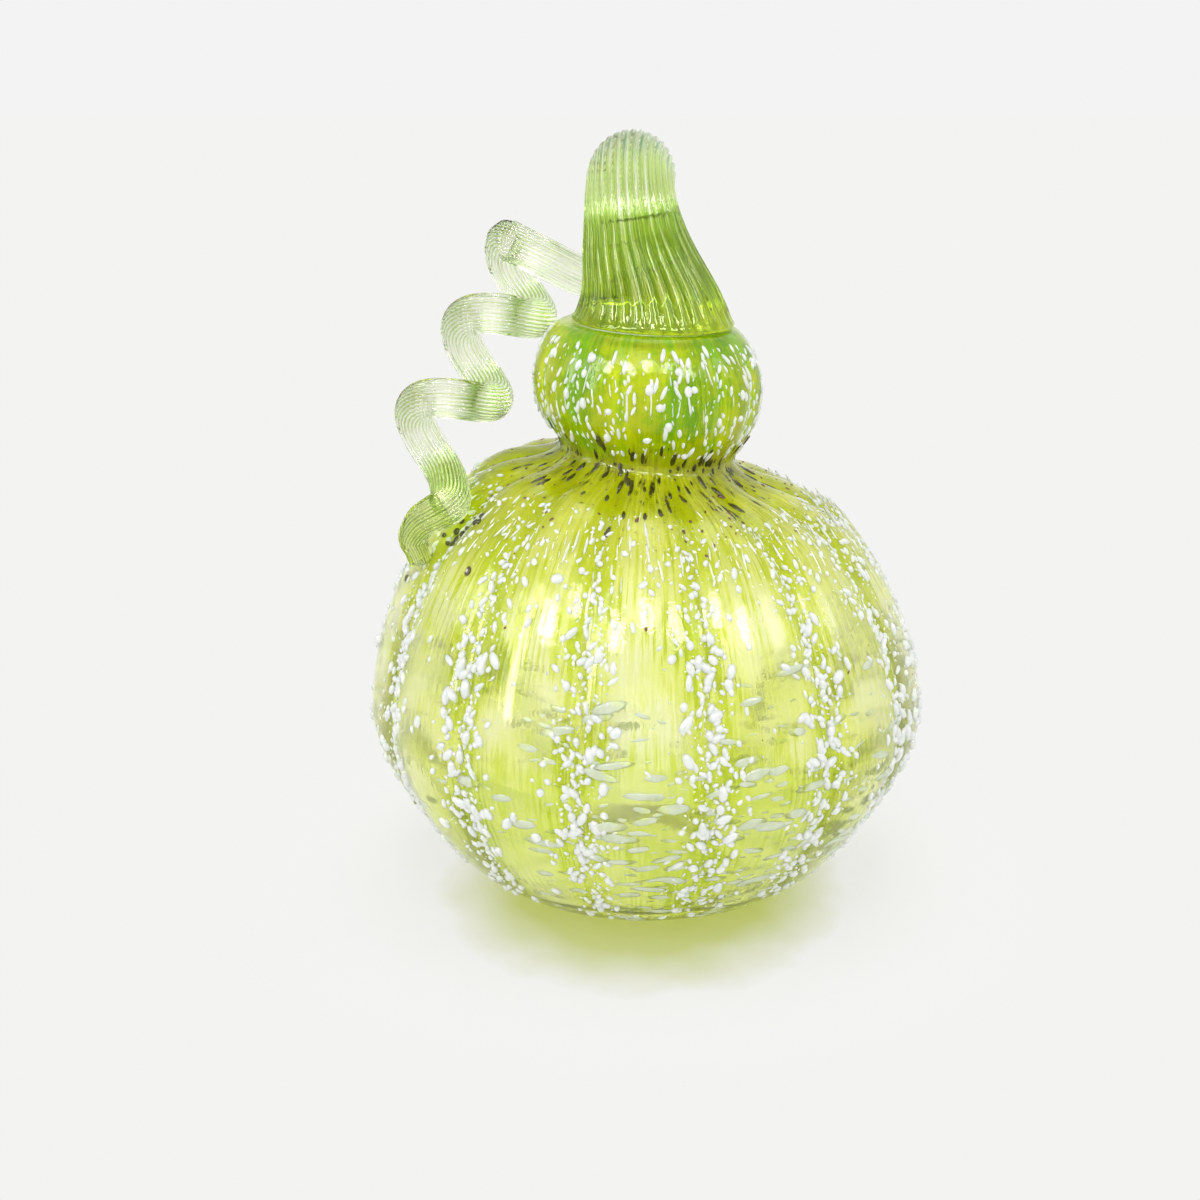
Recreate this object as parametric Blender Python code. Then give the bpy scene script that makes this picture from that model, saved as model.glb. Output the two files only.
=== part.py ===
"""A blown glass gourd: a hollow, lobed double bulb, a ribbed stem that bends over backwards,
a corkscrew tendril drawn out of the stem's end, and the chips of coloured glass fused on its skin.

Metres, +Z up, -Y is the front. The origin is the middle of the flat foot."""

import math
import random

import bmesh
import bpy
import numpy as np
from mathutils import Quaternion, Vector

# Blown bulb: radius and height of each turning point of its outside, each height a rise above the last
FOOT_RADIUS = 0.0288
LOWER_RADIUS = 0.0600
LOWER_HEIGHT = 0.0390
SHOULDER_RADIUS = 0.0270
SHOULDER_HEIGHT = 0.0908
WAIST_RADIUS = 0.0186
WAIST_ABOVE = 0.0040
UPPER_RADIUS = 0.0242
UPPER_ABOVE = 0.0142
NECK_RADIUS = 0.0178
NECK_ABOVE = 0.0125
WAIST_HEIGHT = SHOULDER_HEIGHT + WAIST_ABOVE
UPPER_HEIGHT = WAIST_HEIGHT + UPPER_ABOVE
NECK_HEIGHT = UPPER_HEIGHT + NECK_ABOVE
# How far the outside runs on in its own direction at those points
FOOT_SWELL = 0.0135
LOWER_FLANK = 0.0110
LOWER_CROWN = 0.0190
SHOULDER_RUN = 0.0210
SHOULDER_FALL = 12.0  # degrees below level where the shoulder meets the waist's fillet
WAIST_FILLET = 0.0040
WAIST_RISE = 0.0030
UPPER_FLANK = 0.0085
UPPER_CROWN = 0.0070
NECK_RUN = 0.0014

WALL = 0.0030
FLOOR_WALL = 0.0050
MOUTH_RADIUS = 0.0085
PONTIL_RADIUS = 0.0105
PONTIL_DEPTH = 0.0008
DISH_RADIUS = 0.0074
DISH_DEPTH = 0.0006

# Optic lobes pressed in by the ribbed mould
LOBES = 14
LOBE_SHARPNESS = 0.70
LOWER_LOBE_DEPTH = 0.0021
WAIST_LOBE_DEPTH = 0.0004
UPPER_LOBE_DEPTH = 0.0009
INNER_LOBE_SHARE = 0.45
# The soft glass sank to its right: slopes at the crown, at the shoulder, and from the upper bulb upwards
CROWN_SHARE = 0.79  # share of the way from the widest height up to the shoulder
CROWN_LEAN = 0.040
SHOULDER_LEAN = 0.115
NECK_LEAN = 0.047

# Stem, from its foot on the neck over the crook to the end where the tendril was drawn out
SEAT_GAP = 0.0003
SEAT_OFFSET = 0.0010
STEM_FOOT_RADIUS = 0.0170
STEM_RADIUS = 0.0092
STEM_HEIGHT = 0.0195
STEM_SWAY = 0.0042
STEM_EASE = 0.40  # share of the stem's height over which each end keeps its own direction
FLARE_LENGTH = 0.0290
FLARE_POWER = 1.6
FOOT_EDGE = 0.0008
CROOK_RADIUS = 0.0100
CROOK_TILT = 0.16
CROOK_ANGLE = 160.0
CROOK_HEADING = 9.0
CROWN = 0.45  # share of the crook after which the stem narrows
DRAWN_LENGTH = 0.0030
DRAWN_RADIUS = 0.0054
STEM_RIBS = 32
RIB_DEPTH = 0.00028

# Tendril: a tapered corkscrew on a slanted axis, from the crook's end to the lower shoulder
TENDRIL_RADIUS = 0.0044
COIL_END_RADIUS = 0.0041
TIP_RADIUS = 0.0028
TAPER_LENGTH = 0.0200
COIL_RADIUS = 0.0068
COIL_PITCH = 0.0227
COIL_START = 0.45
COIL_END = 2.92
COIL_CLEARANCE = 0.0032
COIL_HEADING = -89.5  # where the axis passes beside the upper bulb, in degrees from the front
COIL_DROP = 0.0029  # the axis passes there this far below the upper bulb's widest height
LOOP_FACE = Vector((-0.52, -0.35, -0.78))  # square to each loop, which leans on the axis
TIP_TURN = -70.0
TIP_BELOW = 0.0177
TIP_HEIGHT = SHOULDER_HEIGHT - TIP_BELOW
TIP_LEAN = 0.73  # how much the tip leans up the shoulder rather than standing square to it
# In coil radii, from the tip and across, up and out of the skin: the axis at the coil's end, and the last,
# tight turn
COIL_FOOT = (-0.492, 2.501, 1.503)
LAST_TURN = ((0.709, 2.018, 0.499), (0.724, 1.517, 0.729), (0.500, 1.084, 0.862))
# In coil radii from the drawn end, along X, Y and Z: where the tendril passes behind the stem
BEHIND_STEM = (
    (-0.426, 0.691, -2.059),
    (-1.309, 0.441, -2.147),
    (-2.191, 0.074, -1.971),
    (-3.368, -0.147, -1.382),
)
LOOP_POINTS = 24
TENDRIL_SIDES = 12

# White glass beads fused into one row in each crease
BEAD_PITCH = 0.0046
BEAD_WIDTH = 0.0034
BEAD_RISE = 0.0013
BEAD_NECK = 0.45
BEAD_WANDER = 0.0007
BEAD_SECTION = ((-0.5, 0.0), (0.5, 0.0), (0.32, 1.0), (-0.32, 1.0))  # shares of width and rise
CREASE_SHARE = 0.75  # the beads fill the bottom of the crease
BEADS_FROM = 0.0060
BEADS_BELOW = 0.0078  # the rows end this far below the shoulder
TIP_CLEARANCE = 0.0035
CHIP_GAP = 0.0003
SEED = 7

# Single chips: degrees round from the front, and height above the waist, the shoulder or the widest place
CHIP_SIDES = 6
CHIP_SECTION = ((1.0, 0.0), (1.0, 0.55), (0.55, 1.0))  # shares of size and rise
# The seeds by the tip: degrees round, and length up the outline, from the tip itself
TIP_SEEDS = ((3, 0.0117), (11, 0.0136), (10, 0.0111), (4, 0.0095), (7, 0.0081), (1, 0.0071))
TIP_SEEDS += ((4, 0.0063), (-9, -0.0038), (-4, -0.0052))
SEED_SIZE = (0.0018, 0.0011, 0.0005)
WAIST_CHIPS = ((-32, -0.0008), (-16, -0.0010), (-26, -0.0045), (-17, -0.0041), (-1, -0.0030), (5, -0.0052))
WAIST_CHIPS += ((-8, -0.0058), (-13, -0.0080))
WAIST_CHIP_SIZE = (0.0028, 0.0010, 0.0004)
BROWN_CHIPS = ((41, -0.0031), (34, -0.0048), (16, -0.0057))
RINGED_CHIP = (-48, -0.0151)
ROUND_CHIP_SIZE = (0.0018, 0.0016, 0.0006)
PILL = (-22, -0.0126)
PILL_SIZE = (0.0034, 0.0018, 0.0009)
PILL_SPIN = 60.0
PROUD_BEAD = (-84, 0.0140)
PROUD_BEAD_SIZE = (0.0030, 0.0026, 0.0014)
UPPER_BEADS = 12
UPPER_BEAD_SIZE = (0.0024, 0.0020, 0.0009)
UPPER_BEADS_BELOW = 0.0080
UPPER_BEADS_ABOVE = 0.0075
GOLDEN_ANGLE = 137.5

OUTLINE_STEPS = 60
SPAN_RINGS = (8, 9, 4, 5, 5)
BULB_SIDES = 6 * LOBES
INNER_SIDES = 3 * LOBES
STEM_STEPS = 12
CROOK_STEPS = 12
LEAD_STEPS = 4
SETTLE_STEPS = 24
SETTLE_TURN = 0.005
SETTLE_LENGTH = 0.00025

LIME = (0.52, 0.66, 0.02)
GREEN = (0.30, 0.50, 0.06)
CLEAR_GREEN = (0.62, 0.80, 0.45)
WHITE = (0.90, 0.93, 0.92)
BLACK = (0.03, 0.03, 0.01)
BROWN = (0.22, 0.09, 0.03)
THICK_CLARITY = 0.85
THIN_CLARITY = 0.90
CHIP_CLARITY = 0.30


def clear_scene():
    for obj in list(bpy.data.objects):
        bpy.data.objects.remove(obj, do_unlink=True)


def glass(name, colour, clear):
    material = bpy.data.materials.new(name)
    material.use_nodes = True
    shader = material.node_tree.nodes["Principled BSDF"]
    shader.inputs["Base Color"].default_value = (*colour, 1.0)
    shader.inputs["Metallic"].default_value = 0.0
    shader.inputs["Roughness"].default_value = 0.05
    shader.inputs["IOR"].default_value = 1.5
    shader.inputs["Transmission Weight"].default_value = clear
    material.diffuse_color = (*colour, 1.0)
    return material


def skinned(name, rings, material):
    """A closed object from rings of points. A ring of one point is a pole, and a ring may have half as many
    points as its neighbour."""
    points = []
    starts = []
    for ring in rings:
        starts.append(len(points))
        points.extend(ring)
    faces = []
    for lower, upper in zip(range(len(rings) - 1), range(1, len(rings))):
        a, b = starts[lower], starts[upper]
        m, n = len(rings[lower]), len(rings[upper])
        if m == 1:
            faces += [(a, b + (i + 1) % n, b + i) for i in range(n)]
        elif n == 1:
            faces += [(a + i, a + (i + 1) % m, b) for i in range(m)]
        elif m == n:
            faces += [(a + i, a + (i + 1) % n, b + (i + 1) % n, b + i) for i in range(n)]
        else:
            for i in range(n):
                first, middle, last = a + 2 * i, a + 2 * i + 1, a + (2 * i + 2) % m
                here, there = b + i, b + (i + 1) % n
                faces += [(first, middle, here), (middle, there, here), (middle, last, there)]
    mesh = bpy.data.meshes.new(name)
    mesh.from_pydata(points, [], faces)
    shape = bmesh.new()
    shape.from_mesh(mesh)
    bmesh.ops.recalc_face_normals(shape, faces=shape.faces)
    shape.to_mesh(mesh)
    shape.free()
    mesh.materials.append(material)
    mesh.shade_smooth()
    mesh.set_sharp_from_angle(angle=math.radians(50))
    obj = bpy.data.objects.new(name, mesh)
    bpy.context.scene.collection.objects.link(obj)
    return obj


def mean_point(ring):
    return sum(ring, Vector()) / len(ring)


def capped(rings):
    """The rings with a pole in the middle of each end."""
    return [[mean_point(rings[0])], *rings, [mean_point(rings[-1])]]


def bezier(a, b, c, d, steps):
    """Points from a up to, but not at, d."""
    t = np.arange(steps)[:, None] / steps
    a, b, c, d = map(np.asarray, (a, b, c, d))
    return (1 - t) ** 3 * a + 3 * (1 - t) ** 2 * t * b + 3 * (1 - t) * t**2 * c + t**3 * d


def outline_spans():
    """The bulb's outside as curves of (radius, height), from the foot's edge to the neck's rim."""
    foot = (FOOT_RADIUS, 0.0)
    lower = (LOWER_RADIUS, LOWER_HEIGHT)
    shoulder = (SHOULDER_RADIUS, SHOULDER_HEIGHT)
    waist = (WAIST_RADIUS, WAIST_HEIGHT)
    upper = (UPPER_RADIUS, UPPER_HEIGHT)
    neck = (NECK_RADIUS, NECK_HEIGHT)
    fall = math.radians(SHOULDER_FALL)
    out, down = math.cos(fall), math.sin(fall)
    before_shoulder = (SHOULDER_RADIUS + SHOULDER_RUN * out, SHOULDER_HEIGHT - SHOULDER_RUN * down)
    after_shoulder = (SHOULDER_RADIUS - WAIST_FILLET * out, SHOULDER_HEIGHT + WAIST_FILLET * down)
    before_lower = (LOWER_RADIUS, LOWER_HEIGHT - LOWER_FLANK)
    after_lower = (LOWER_RADIUS, LOWER_HEIGHT + LOWER_CROWN)
    before_waist = (WAIST_RADIUS, WAIST_HEIGHT - WAIST_RISE / 2)
    after_waist = (WAIST_RADIUS, WAIST_HEIGHT + WAIST_RISE)
    before_upper = (UPPER_RADIUS, UPPER_HEIGHT - UPPER_FLANK)
    after_upper = (UPPER_RADIUS, UPPER_HEIGHT + UPPER_CROWN)
    return (
        (foot, (FOOT_RADIUS + FOOT_SWELL, 0.0), before_lower, lower),
        (lower, after_lower, before_shoulder, shoulder),
        (shoulder, after_shoulder, before_waist, waist),
        (waist, after_waist, before_upper, upper),
        (upper, after_upper, (NECK_RADIUS + NECK_RUN, NECK_HEIGHT), neck),
    )


class Outline:
    """The bulb's outside, read by the length run along it from the foot's edge."""

    def __init__(self):
        spans = outline_spans()
        points = np.concatenate([bezier(*span, OUTLINE_STEPS) for span in spans] + [[spans[-1][3]]])
        steps = np.hypot(*np.diff(points, axis=0).T)
        self.length = np.concatenate([[0.0], np.cumsum(steps)])
        self.radius, self.height = points.T
        slope = np.gradient(points, self.length, axis=0)
        self.normal = np.stack([slope[:, 1], -slope[:, 0]], axis=1)
        self.normal /= np.linalg.norm(self.normal, axis=1, keepdims=True)
        self.turns = [self.length[i * OUTLINE_STEPS] for i in range(len(spans) + 1)]
        depths = (0.0, LOWER_LOBE_DEPTH, LOWER_LOBE_DEPTH, WAIST_LOBE_DEPTH, UPPER_LOBE_DEPTH, 0.0)
        self.lobe_depth = smooth_steps(self.length, self.turns, depths)

    def at(self, length):
        """Radius, height, the two parts of the outward direction, and the lobes' depth."""
        columns = (self.radius, self.height, self.normal[:, 0], self.normal[:, 1], self.lobe_depth)
        return [float(np.interp(length, self.length, column)) for column in columns]

    def length_at(self, height):
        return float(np.interp(height, self.height, self.length))


def smooth_steps(x, places, values):
    """Values that ease from one place to the next."""
    x = np.asarray(x, float)
    result = np.full(x.shape, values[0], float)
    for a, b, low, high in zip(places, places[1:], values, values[1:]):
        share = np.clip((x - a) / (b - a), 0.0, 1.0)
        result = np.where(x >= a, low + (high - low) * share**2 * (3 - 2 * share), result)
    return result


def lobe(turn):
    """1 on the middle of a lobe and 0 in a crease."""
    return abs(math.cos(LOBES * turn / 2)) ** LOBE_SHARPNESS


def leaned(x, y, z):
    crown_height = LOWER_HEIGHT + (SHOULDER_HEIGHT - LOWER_HEIGHT) * CROWN_SHARE
    heights = (LOWER_HEIGHT, crown_height, SHOULDER_HEIGHT, UPPER_HEIGHT)
    slope = smooth_steps([z], heights, (0.0, CROWN_LEAN, SHOULDER_LEAN, NECK_LEAN))[0]
    return Vector((x, y, z - x * slope))


def skin_point(outline, turn, length, lift=0.0, lobe_share=1.0):
    """A point on the bulb's outside, turned about the axis from the front, and lifted off the glass."""
    radius, height, out, up, depth = outline.at(length)
    off = lift - depth * lobe_share * (1 - lobe(turn))
    radius += off * out
    height += off * up
    return leaned(radius * math.sin(turn), -radius * math.cos(turn), height)


def skin_ring(outline, length, sides, lift=0.0, lobe_share=1.0):
    turns = (2 * math.pi * i / sides for i in range(sides))
    return [skin_point(outline, turn, length, lift, lobe_share) for turn in turns]


def flat_ring(radius, height, sides):
    turns = (2 * math.pi * i / sides for i in range(sides))
    return [leaned(radius * math.sin(turn), -radius * math.cos(turn), height) for turn in turns]


def between(start, end, count):
    """Lengths after start up to end."""
    return [start + (end - start) * (i + 1) / count for i in range(count)]


def make_bulb(outline, material):
    """The blown shell. Its hollow opens at the mouth, where the blowpipe was cracked off."""
    turns = outline.turns
    rings = [[Vector((0.0, 0.0, PONTIL_DEPTH))]]
    rings.append(flat_ring(DISH_RADIUS, DISH_DEPTH, BULB_SIDES))
    rings.append(flat_ring(PONTIL_RADIUS, 0.0, BULB_SIDES))
    rings.append(skin_ring(outline, 0.0, BULB_SIDES))
    for start, end, count in zip(turns, turns[1:], SPAN_RINGS):
        rings += [skin_ring(outline, s, BULB_SIDES) for s in between(start, end, count)]
    rings.append(flat_ring(MOUTH_RADIUS, NECK_HEIGHT, BULB_SIDES))
    rings.append(flat_ring(MOUTH_RADIUS, NECK_HEIGHT - WALL, INNER_SIDES))
    under_waist = turns[2] - WALL / 2
    inner = [turns[5] - WALL / 2, turns[4], *between(turns[4], turns[3], 2), under_waist]
    inner += between(under_waist, turns[1], 5)
    inner += between(turns[1], outline.length_at(FLOOR_WALL), 4)
    for length in inner:
        rings.append(skin_ring(outline, length, INNER_SIDES, -WALL, INNER_LOBE_SHARE))
    rings.append(flat_ring(FOOT_RADIUS, FLOOR_WALL, INNER_SIDES))
    rings.append([Vector((0.0, 0.0, FLOOR_WALL))])
    return skinned("blown_bulb", rings, material)


def stem_route():
    """The stem's middle line, from its seat to where the tendril was drawn off: points and directions."""
    square = Vector((NECK_LEAN, 0.0, 1.0)).normalized()
    up = Vector((-CROOK_TILT, 0.0, 1.0)).normalized()
    heading = math.radians(CROOK_HEADING)
    back = Vector((math.sin(heading), math.cos(heading), 0.0))
    back = (back - up * up.dot(back)).normalized()
    seat = leaned(SEAT_OFFSET, 0.0, NECK_HEIGHT) + square * SEAT_GAP
    top = seat + Vector((-STEM_SWAY, 0.0, STEM_HEIGHT))
    ease = STEM_HEIGHT * STEM_EASE
    rise = bezier(seat, seat + square * ease, top - up * ease, top, STEM_STEPS)
    points = [seat, seat + square * FOOT_EDGE] + [Vector(point) for point in rise[1:]]
    directions = [square] + [square.lerp(up, i / STEM_STEPS).normalized() for i in range(STEM_STEPS)]
    for i in range(CROOK_STEPS + 1):
        turned = math.radians(CROOK_ANGLE) * i / CROOK_STEPS
        points.append(top + CROOK_RADIUS * ((1 - math.cos(turned)) * back + math.sin(turned) * up))
        directions.append(math.cos(turned) * up + math.sin(turned) * back)
    away = directions[-1]
    points.append(points[-1] + away * DRAWN_LENGTH)
    return points, directions + [away]


def run_along(points):
    steps = [(b - a).length for a, b in zip(points, points[1:])]
    return np.concatenate([[0.0], np.cumsum(steps)])


def sweep(points, directions, radii, sides, rib_depth=0.0):
    """Rings of points square to a route, carried along it without twist. Every other point stands lower
    by the ribs' depth."""
    before = directions[0]
    side = Vector((0.0, -1.0, 0.0)).cross(before).normalized()
    rings = []
    for point, direction, radius in zip(points, directions, radii):
        side = before.rotation_difference(direction) @ side
        before = direction
        ring = []
        for i in range(sides):
            reach = radius - rib_depth * (i % 2)
            ring.append(point + Quaternion(direction, 2 * math.pi * i / sides) @ side * reach)
        rings.append(ring)
    return rings


def make_stem(material):
    """The stem, and its end, where the tendril goes on: the point and the direction."""
    points, directions = stem_route()
    run = run_along(points)
    crook = CROOK_RADIUS * math.radians(CROOK_ANGLE)
    crown = run[-1] - DRAWN_LENGTH - crook * (1 - CROWN)
    radii = smooth_steps(run, (crown, run[-1]), (STEM_RADIUS, DRAWN_RADIUS))
    radii += (STEM_FOOT_RADIUS - STEM_RADIUS) * np.clip(1 - run / FLARE_LENGTH, 0.0, 1.0) ** FLARE_POWER
    radii[0] -= FOOT_EDGE
    skinned("stem", capped(sweep(points, directions, radii, 2 * STEM_RIBS, RIB_DEPTH)), material)
    return points[-1], directions[-1]


def catmull_rom(points, per_span):
    """A smooth run of points through the given ones."""
    ends = [2 * points[0] - points[1], *points, 2 * points[-1] - points[-2]]
    result = []
    for a, b, c, d in zip(ends, ends[1:], ends[2:], ends[3:]):
        for i in range(per_span):
            t = i / per_span
            square = (2 * a - 5 * b + 4 * c - d) * t**2
            cube = (3 * b - a - 3 * c + d) * t**3
            result.append((2 * b + (c - a) * t + square + cube) / 2)
    return result + [points[-1]]


def tip_frame(outline):
    """Where the tip touches the shoulder, and the directions across, up and out of the skin there."""
    turn = math.radians(TIP_TURN)
    length = outline.length_at(TIP_HEIGHT)
    tip = skin_point(outline, turn, length, CHIP_GAP)
    out = (skin_point(outline, turn, length, 2 * CHIP_GAP) - tip).normalized()
    across = Vector((math.cos(turn), math.sin(turn), 0.0))
    across = (across - out * across.dot(out)).normalized()
    return turn, length, tip, (across, out.cross(across), out)


def offset(axes, parts):
    """An offset given in coil radii along three directions."""
    return sum((axis * part for axis, part in zip(axes, parts)), Vector()) * COIL_RADIUS


def coil_points(tip, axes):
    """The corkscrew: even turns round a slanted axis, beside the upper bulb and down to the shoulder."""
    foot = tip + offset(axes, COIL_FOOT)
    heading = math.radians(COIL_HEADING)
    reach = UPPER_RADIUS + COIL_CLEARANCE + TENDRIL_RADIUS + COIL_RADIUS
    beside = leaned(reach * math.sin(heading), -reach * math.cos(heading), UPPER_HEIGHT - COIL_DROP)
    axis = (foot - beside).normalized()
    face = LOOP_FACE.normalized()
    right = (Vector((1.0, 0.0, 0.0)) - face * face.x).normalized()
    front = face.cross(right)
    points = []
    steps = round((COIL_END - COIL_START) * LOOP_POINTS)
    for i in range(steps + 1):
        turns = COIL_START + i / LOOP_POINTS
        angle = 2 * math.pi * turns
        centre = foot + axis * COIL_PITCH * (turns - COIL_END)
        points.append(centre + COIL_RADIUS * (math.cos(angle) * right + math.sin(angle) * front))
    return points


def tendril_route(tip, axes, out, start, away):
    """The whole tendril: straight off the stem's end, round behind the stem, down the coil, and straight
    on to the shoulder."""
    coil = coil_points(tip, axes)
    world = (Vector((1.0, 0.0, 0.0)), Vector((0.0, 1.0, 0.0)), Vector((0.0, 0.0, 1.0)))
    begin = start + away * SEAT_GAP
    lead = [begin, begin + away * DRAWN_RADIUS, begin + away * 2 * DRAWN_RADIUS]
    lead += [begin + offset(world, parts) for parts in BEHIND_STEM]
    tail = [tip + offset(axes, parts) for parts in LAST_TURN]
    tail += [tip + out * 2 * TIP_RADIUS, tip + out * TIP_RADIUS, tip]
    last = catmull_rom(coil[-2:] + tail, LEAD_STEPS)[LEAD_STEPS + 1 : -LEAD_STEPS]
    return catmull_rom(lead + coil[:1], LEAD_STEPS)[:-1] + coil + last + [tip]


def least_gap(points, radii):
    """The least space between two stretches of a tube that are far apart along it."""
    places = np.array(points)
    run = run_along(points)
    apart = np.linalg.norm(places[:, None] - places[None], axis=2)
    apart -= np.add.outer(radii, radii)
    far = np.abs(np.subtract.outer(run, run)) > math.pi * COIL_RADIUS
    return float(apart[far].min())


def make_tendril(outline, start, away, material):
    turn, length, tip, axes = tip_frame(outline)
    out = (axes[2] + axes[1] * TIP_LEAN).normalized()
    points = tendril_route(tip, axes, out, start, away)
    directions = [away] + [(c - a).normalized() for a, c in zip(points, points[2:])] + [-out]
    run = run_along(points)
    places = (0.0, TAPER_LENGTH, run[-1] - TAPER_LENGTH, run[-1])
    radii = smooth_steps(run, places, (DRAWN_RADIUS, TENDRIL_RADIUS, COIL_END_RADIUS, TIP_RADIUS))
    gap = least_gap(points, radii)
    print(f"tendril: {run[-1] * 1000:.0f} mm long, least gap to itself {gap * 1000:.2f} mm")
    rings = sweep(points, directions, radii, TENDRIL_SIDES)
    rings[-1] = [settled(outline, point, turn, length) for point in rings[-1]]
    skinned("tendril", [[points[0]], *rings, [tip]], material)


def settled(outline, point, turn, length):
    """The place just above the glass, near the tip, that is nearest to a point of the tube's end."""
    steps = range(-SETTLE_STEPS, SETTLE_STEPS + 1)
    turns = [turn + i * SETTLE_TURN for i in steps]
    lengths = [length + i * SETTLE_LENGTH for i in steps]
    places = [skin_point(outline, t, s, CHIP_GAP) for t in turns for s in lengths]
    return min(places, key=lambda place: (place - point).length)


def make_crease_row(outline, number, draw, material):
    """The fused row of white beads in one crease, one body that swells and narrows."""
    turn = 2 * math.pi * (number + 0.5) / LOBES
    start, end = outline.length_at(BEADS_FROM), outline.length_at(SHOULDER_HEIGHT - BEADS_BELOW)
    if abs(math.remainder(turn - math.radians(TIP_TURN), 2 * math.pi)) < math.pi / LOBES:
        end = outline.length_at(TIP_HEIGHT) - TIP_RADIUS - TIP_CLEARANCE
    beads = round((end - start) / BEAD_PITCH)
    rings = []
    for i in range(2 * beads + 1):
        length = start + (end - start) * i / (2 * beads)
        full = 1.0 if i % 2 else BEAD_NECK
        size = full * draw.uniform(0.75, 1.1)
        wander = draw.uniform(-BEAD_WANDER, BEAD_WANDER)
        radius = outline.at(length)[0]
        ring = []
        for across, lift in BEAD_SECTION:
            place = turn + (wander + across * BEAD_WIDTH * size) / radius
            up = CHIP_GAP + lift * BEAD_RISE * size
            ring.append(skin_point(outline, place, length, up, CREASE_SHARE))
        rings.append(ring)
    return skinned(f"crease_frit_{number + 1:02d}", capped(rings), material)


def make_chip(outline, name, place, size, material, level=0.0, spin=0.0):
    """A low, oval pebble of glass on the bulb's skin, so far above a level, and long from head to foot
    unless it is spun."""
    turn, middle = math.radians(place[0]), outline.length_at(level + place[1])
    radius = outline.at(middle)[0]
    length, width, rise = size
    spin = math.radians(spin)
    rings = []
    for share, lift in CHIP_SECTION:
        ring = []
        for i in range(CHIP_SIDES):
            angle = 2 * math.pi * i / CHIP_SIDES
            along, across = math.cos(angle) * length / 2 * share, math.sin(angle) * width / 2 * share
            up = along * math.cos(spin) - across * math.sin(spin)
            side = along * math.sin(spin) + across * math.cos(spin)
            ring.append(skin_point(outline, turn + side / radius, middle + up, CHIP_GAP + lift * rise))
        rings.append(ring)
    return skinned(name, capped(rings), material)


def make_chips(outline, white, dark, brown):
    tip_length = outline.length_at(TIP_HEIGHT)
    for number, (aside, ahead) in enumerate(TIP_SEEDS, 1):
        place = (TIP_TURN + aside, outline.at(tip_length + ahead)[1])
        make_chip(outline, f"tip_seed_{number}", place, SEED_SIZE, dark, spin=90.0)
    for number, place in enumerate(WAIST_CHIPS, 1):
        make_chip(outline, f"waist_chip_{number}", place, WAIST_CHIP_SIZE, dark, WAIST_HEIGHT)
    for number, place in enumerate(BROWN_CHIPS, 1):
        make_chip(outline, f"brown_chip_{number}", place, ROUND_CHIP_SIZE, brown, WAIST_HEIGHT)
    make_chip(outline, "ringed_chip", RINGED_CHIP, ROUND_CHIP_SIZE, brown, SHOULDER_HEIGHT)
    make_chip(outline, "white_pill", PILL, PILL_SIZE, white, SHOULDER_HEIGHT, PILL_SPIN)
    make_chip(outline, "proud_bead", PROUD_BEAD, PROUD_BEAD_SIZE, white, LOWER_HEIGHT)
    for number in range(UPPER_BEADS):
        share = (number + 0.5) / UPPER_BEADS
        above = (UPPER_BEADS_BELOW + UPPER_BEADS_ABOVE) * share - UPPER_BEADS_BELOW
        place = (GOLDEN_ANGLE * number, above)
        make_chip(outline, f"upper_bead_{number + 1:02d}", place, UPPER_BEAD_SIZE, white, UPPER_HEIGHT)


def main():
    clear_scene()
    outline = Outline()
    lime = glass("lime_glass", LIME, THICK_CLARITY)
    green = glass("green_glass", GREEN, THICK_CLARITY)
    pale = glass("pale_green_glass", CLEAR_GREEN, THIN_CLARITY)
    white = glass("white_frit", WHITE, 0.0)
    make_bulb(outline, lime)
    end, away = make_stem(green)
    make_tendril(outline, end, away, pale)
    draw = random.Random(SEED)
    for number in range(LOBES):
        make_crease_row(outline, number, draw, white)
    dark, brown = glass("dark_frit", BLACK, CHIP_CLARITY), glass("brown_frit", BROWN, CHIP_CLARITY)
    make_chips(outline, white, dark, brown)


main()
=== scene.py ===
"""Dresses the glass gourd: one lobed bubble of lime glass, a ribbed stem drawn out into a corkscrew
tendril, and the white, dark and brown chips of glass fused on the skin.

Metres, +Z up, -Y is the front, as the part has it."""

import math

import bmesh
import bpy
import numpy as np
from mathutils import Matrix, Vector


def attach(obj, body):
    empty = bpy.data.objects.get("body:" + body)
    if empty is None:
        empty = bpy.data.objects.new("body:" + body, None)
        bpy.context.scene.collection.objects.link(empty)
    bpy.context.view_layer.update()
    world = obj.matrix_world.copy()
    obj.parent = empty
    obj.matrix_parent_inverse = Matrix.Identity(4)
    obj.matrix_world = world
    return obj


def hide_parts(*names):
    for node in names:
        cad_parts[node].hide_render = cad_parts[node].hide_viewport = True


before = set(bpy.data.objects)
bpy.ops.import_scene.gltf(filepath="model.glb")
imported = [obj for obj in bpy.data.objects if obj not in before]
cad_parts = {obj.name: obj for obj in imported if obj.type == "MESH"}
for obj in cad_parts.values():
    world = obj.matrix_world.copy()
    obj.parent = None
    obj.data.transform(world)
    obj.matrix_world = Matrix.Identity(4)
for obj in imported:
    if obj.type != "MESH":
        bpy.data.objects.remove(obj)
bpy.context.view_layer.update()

# The bulb's outside, as the part has it: radius and height, from the foot's edge to the neck's rim
FOOT = (0.0288, 0.0)
LOWER = (0.0600, 0.0390)
SHOULDER = (0.0270, 0.0908)
WAIST = (0.0186, 0.0948)
UPPER = (0.0242, 0.1090)
NECK = (0.0178, 0.1215)
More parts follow.
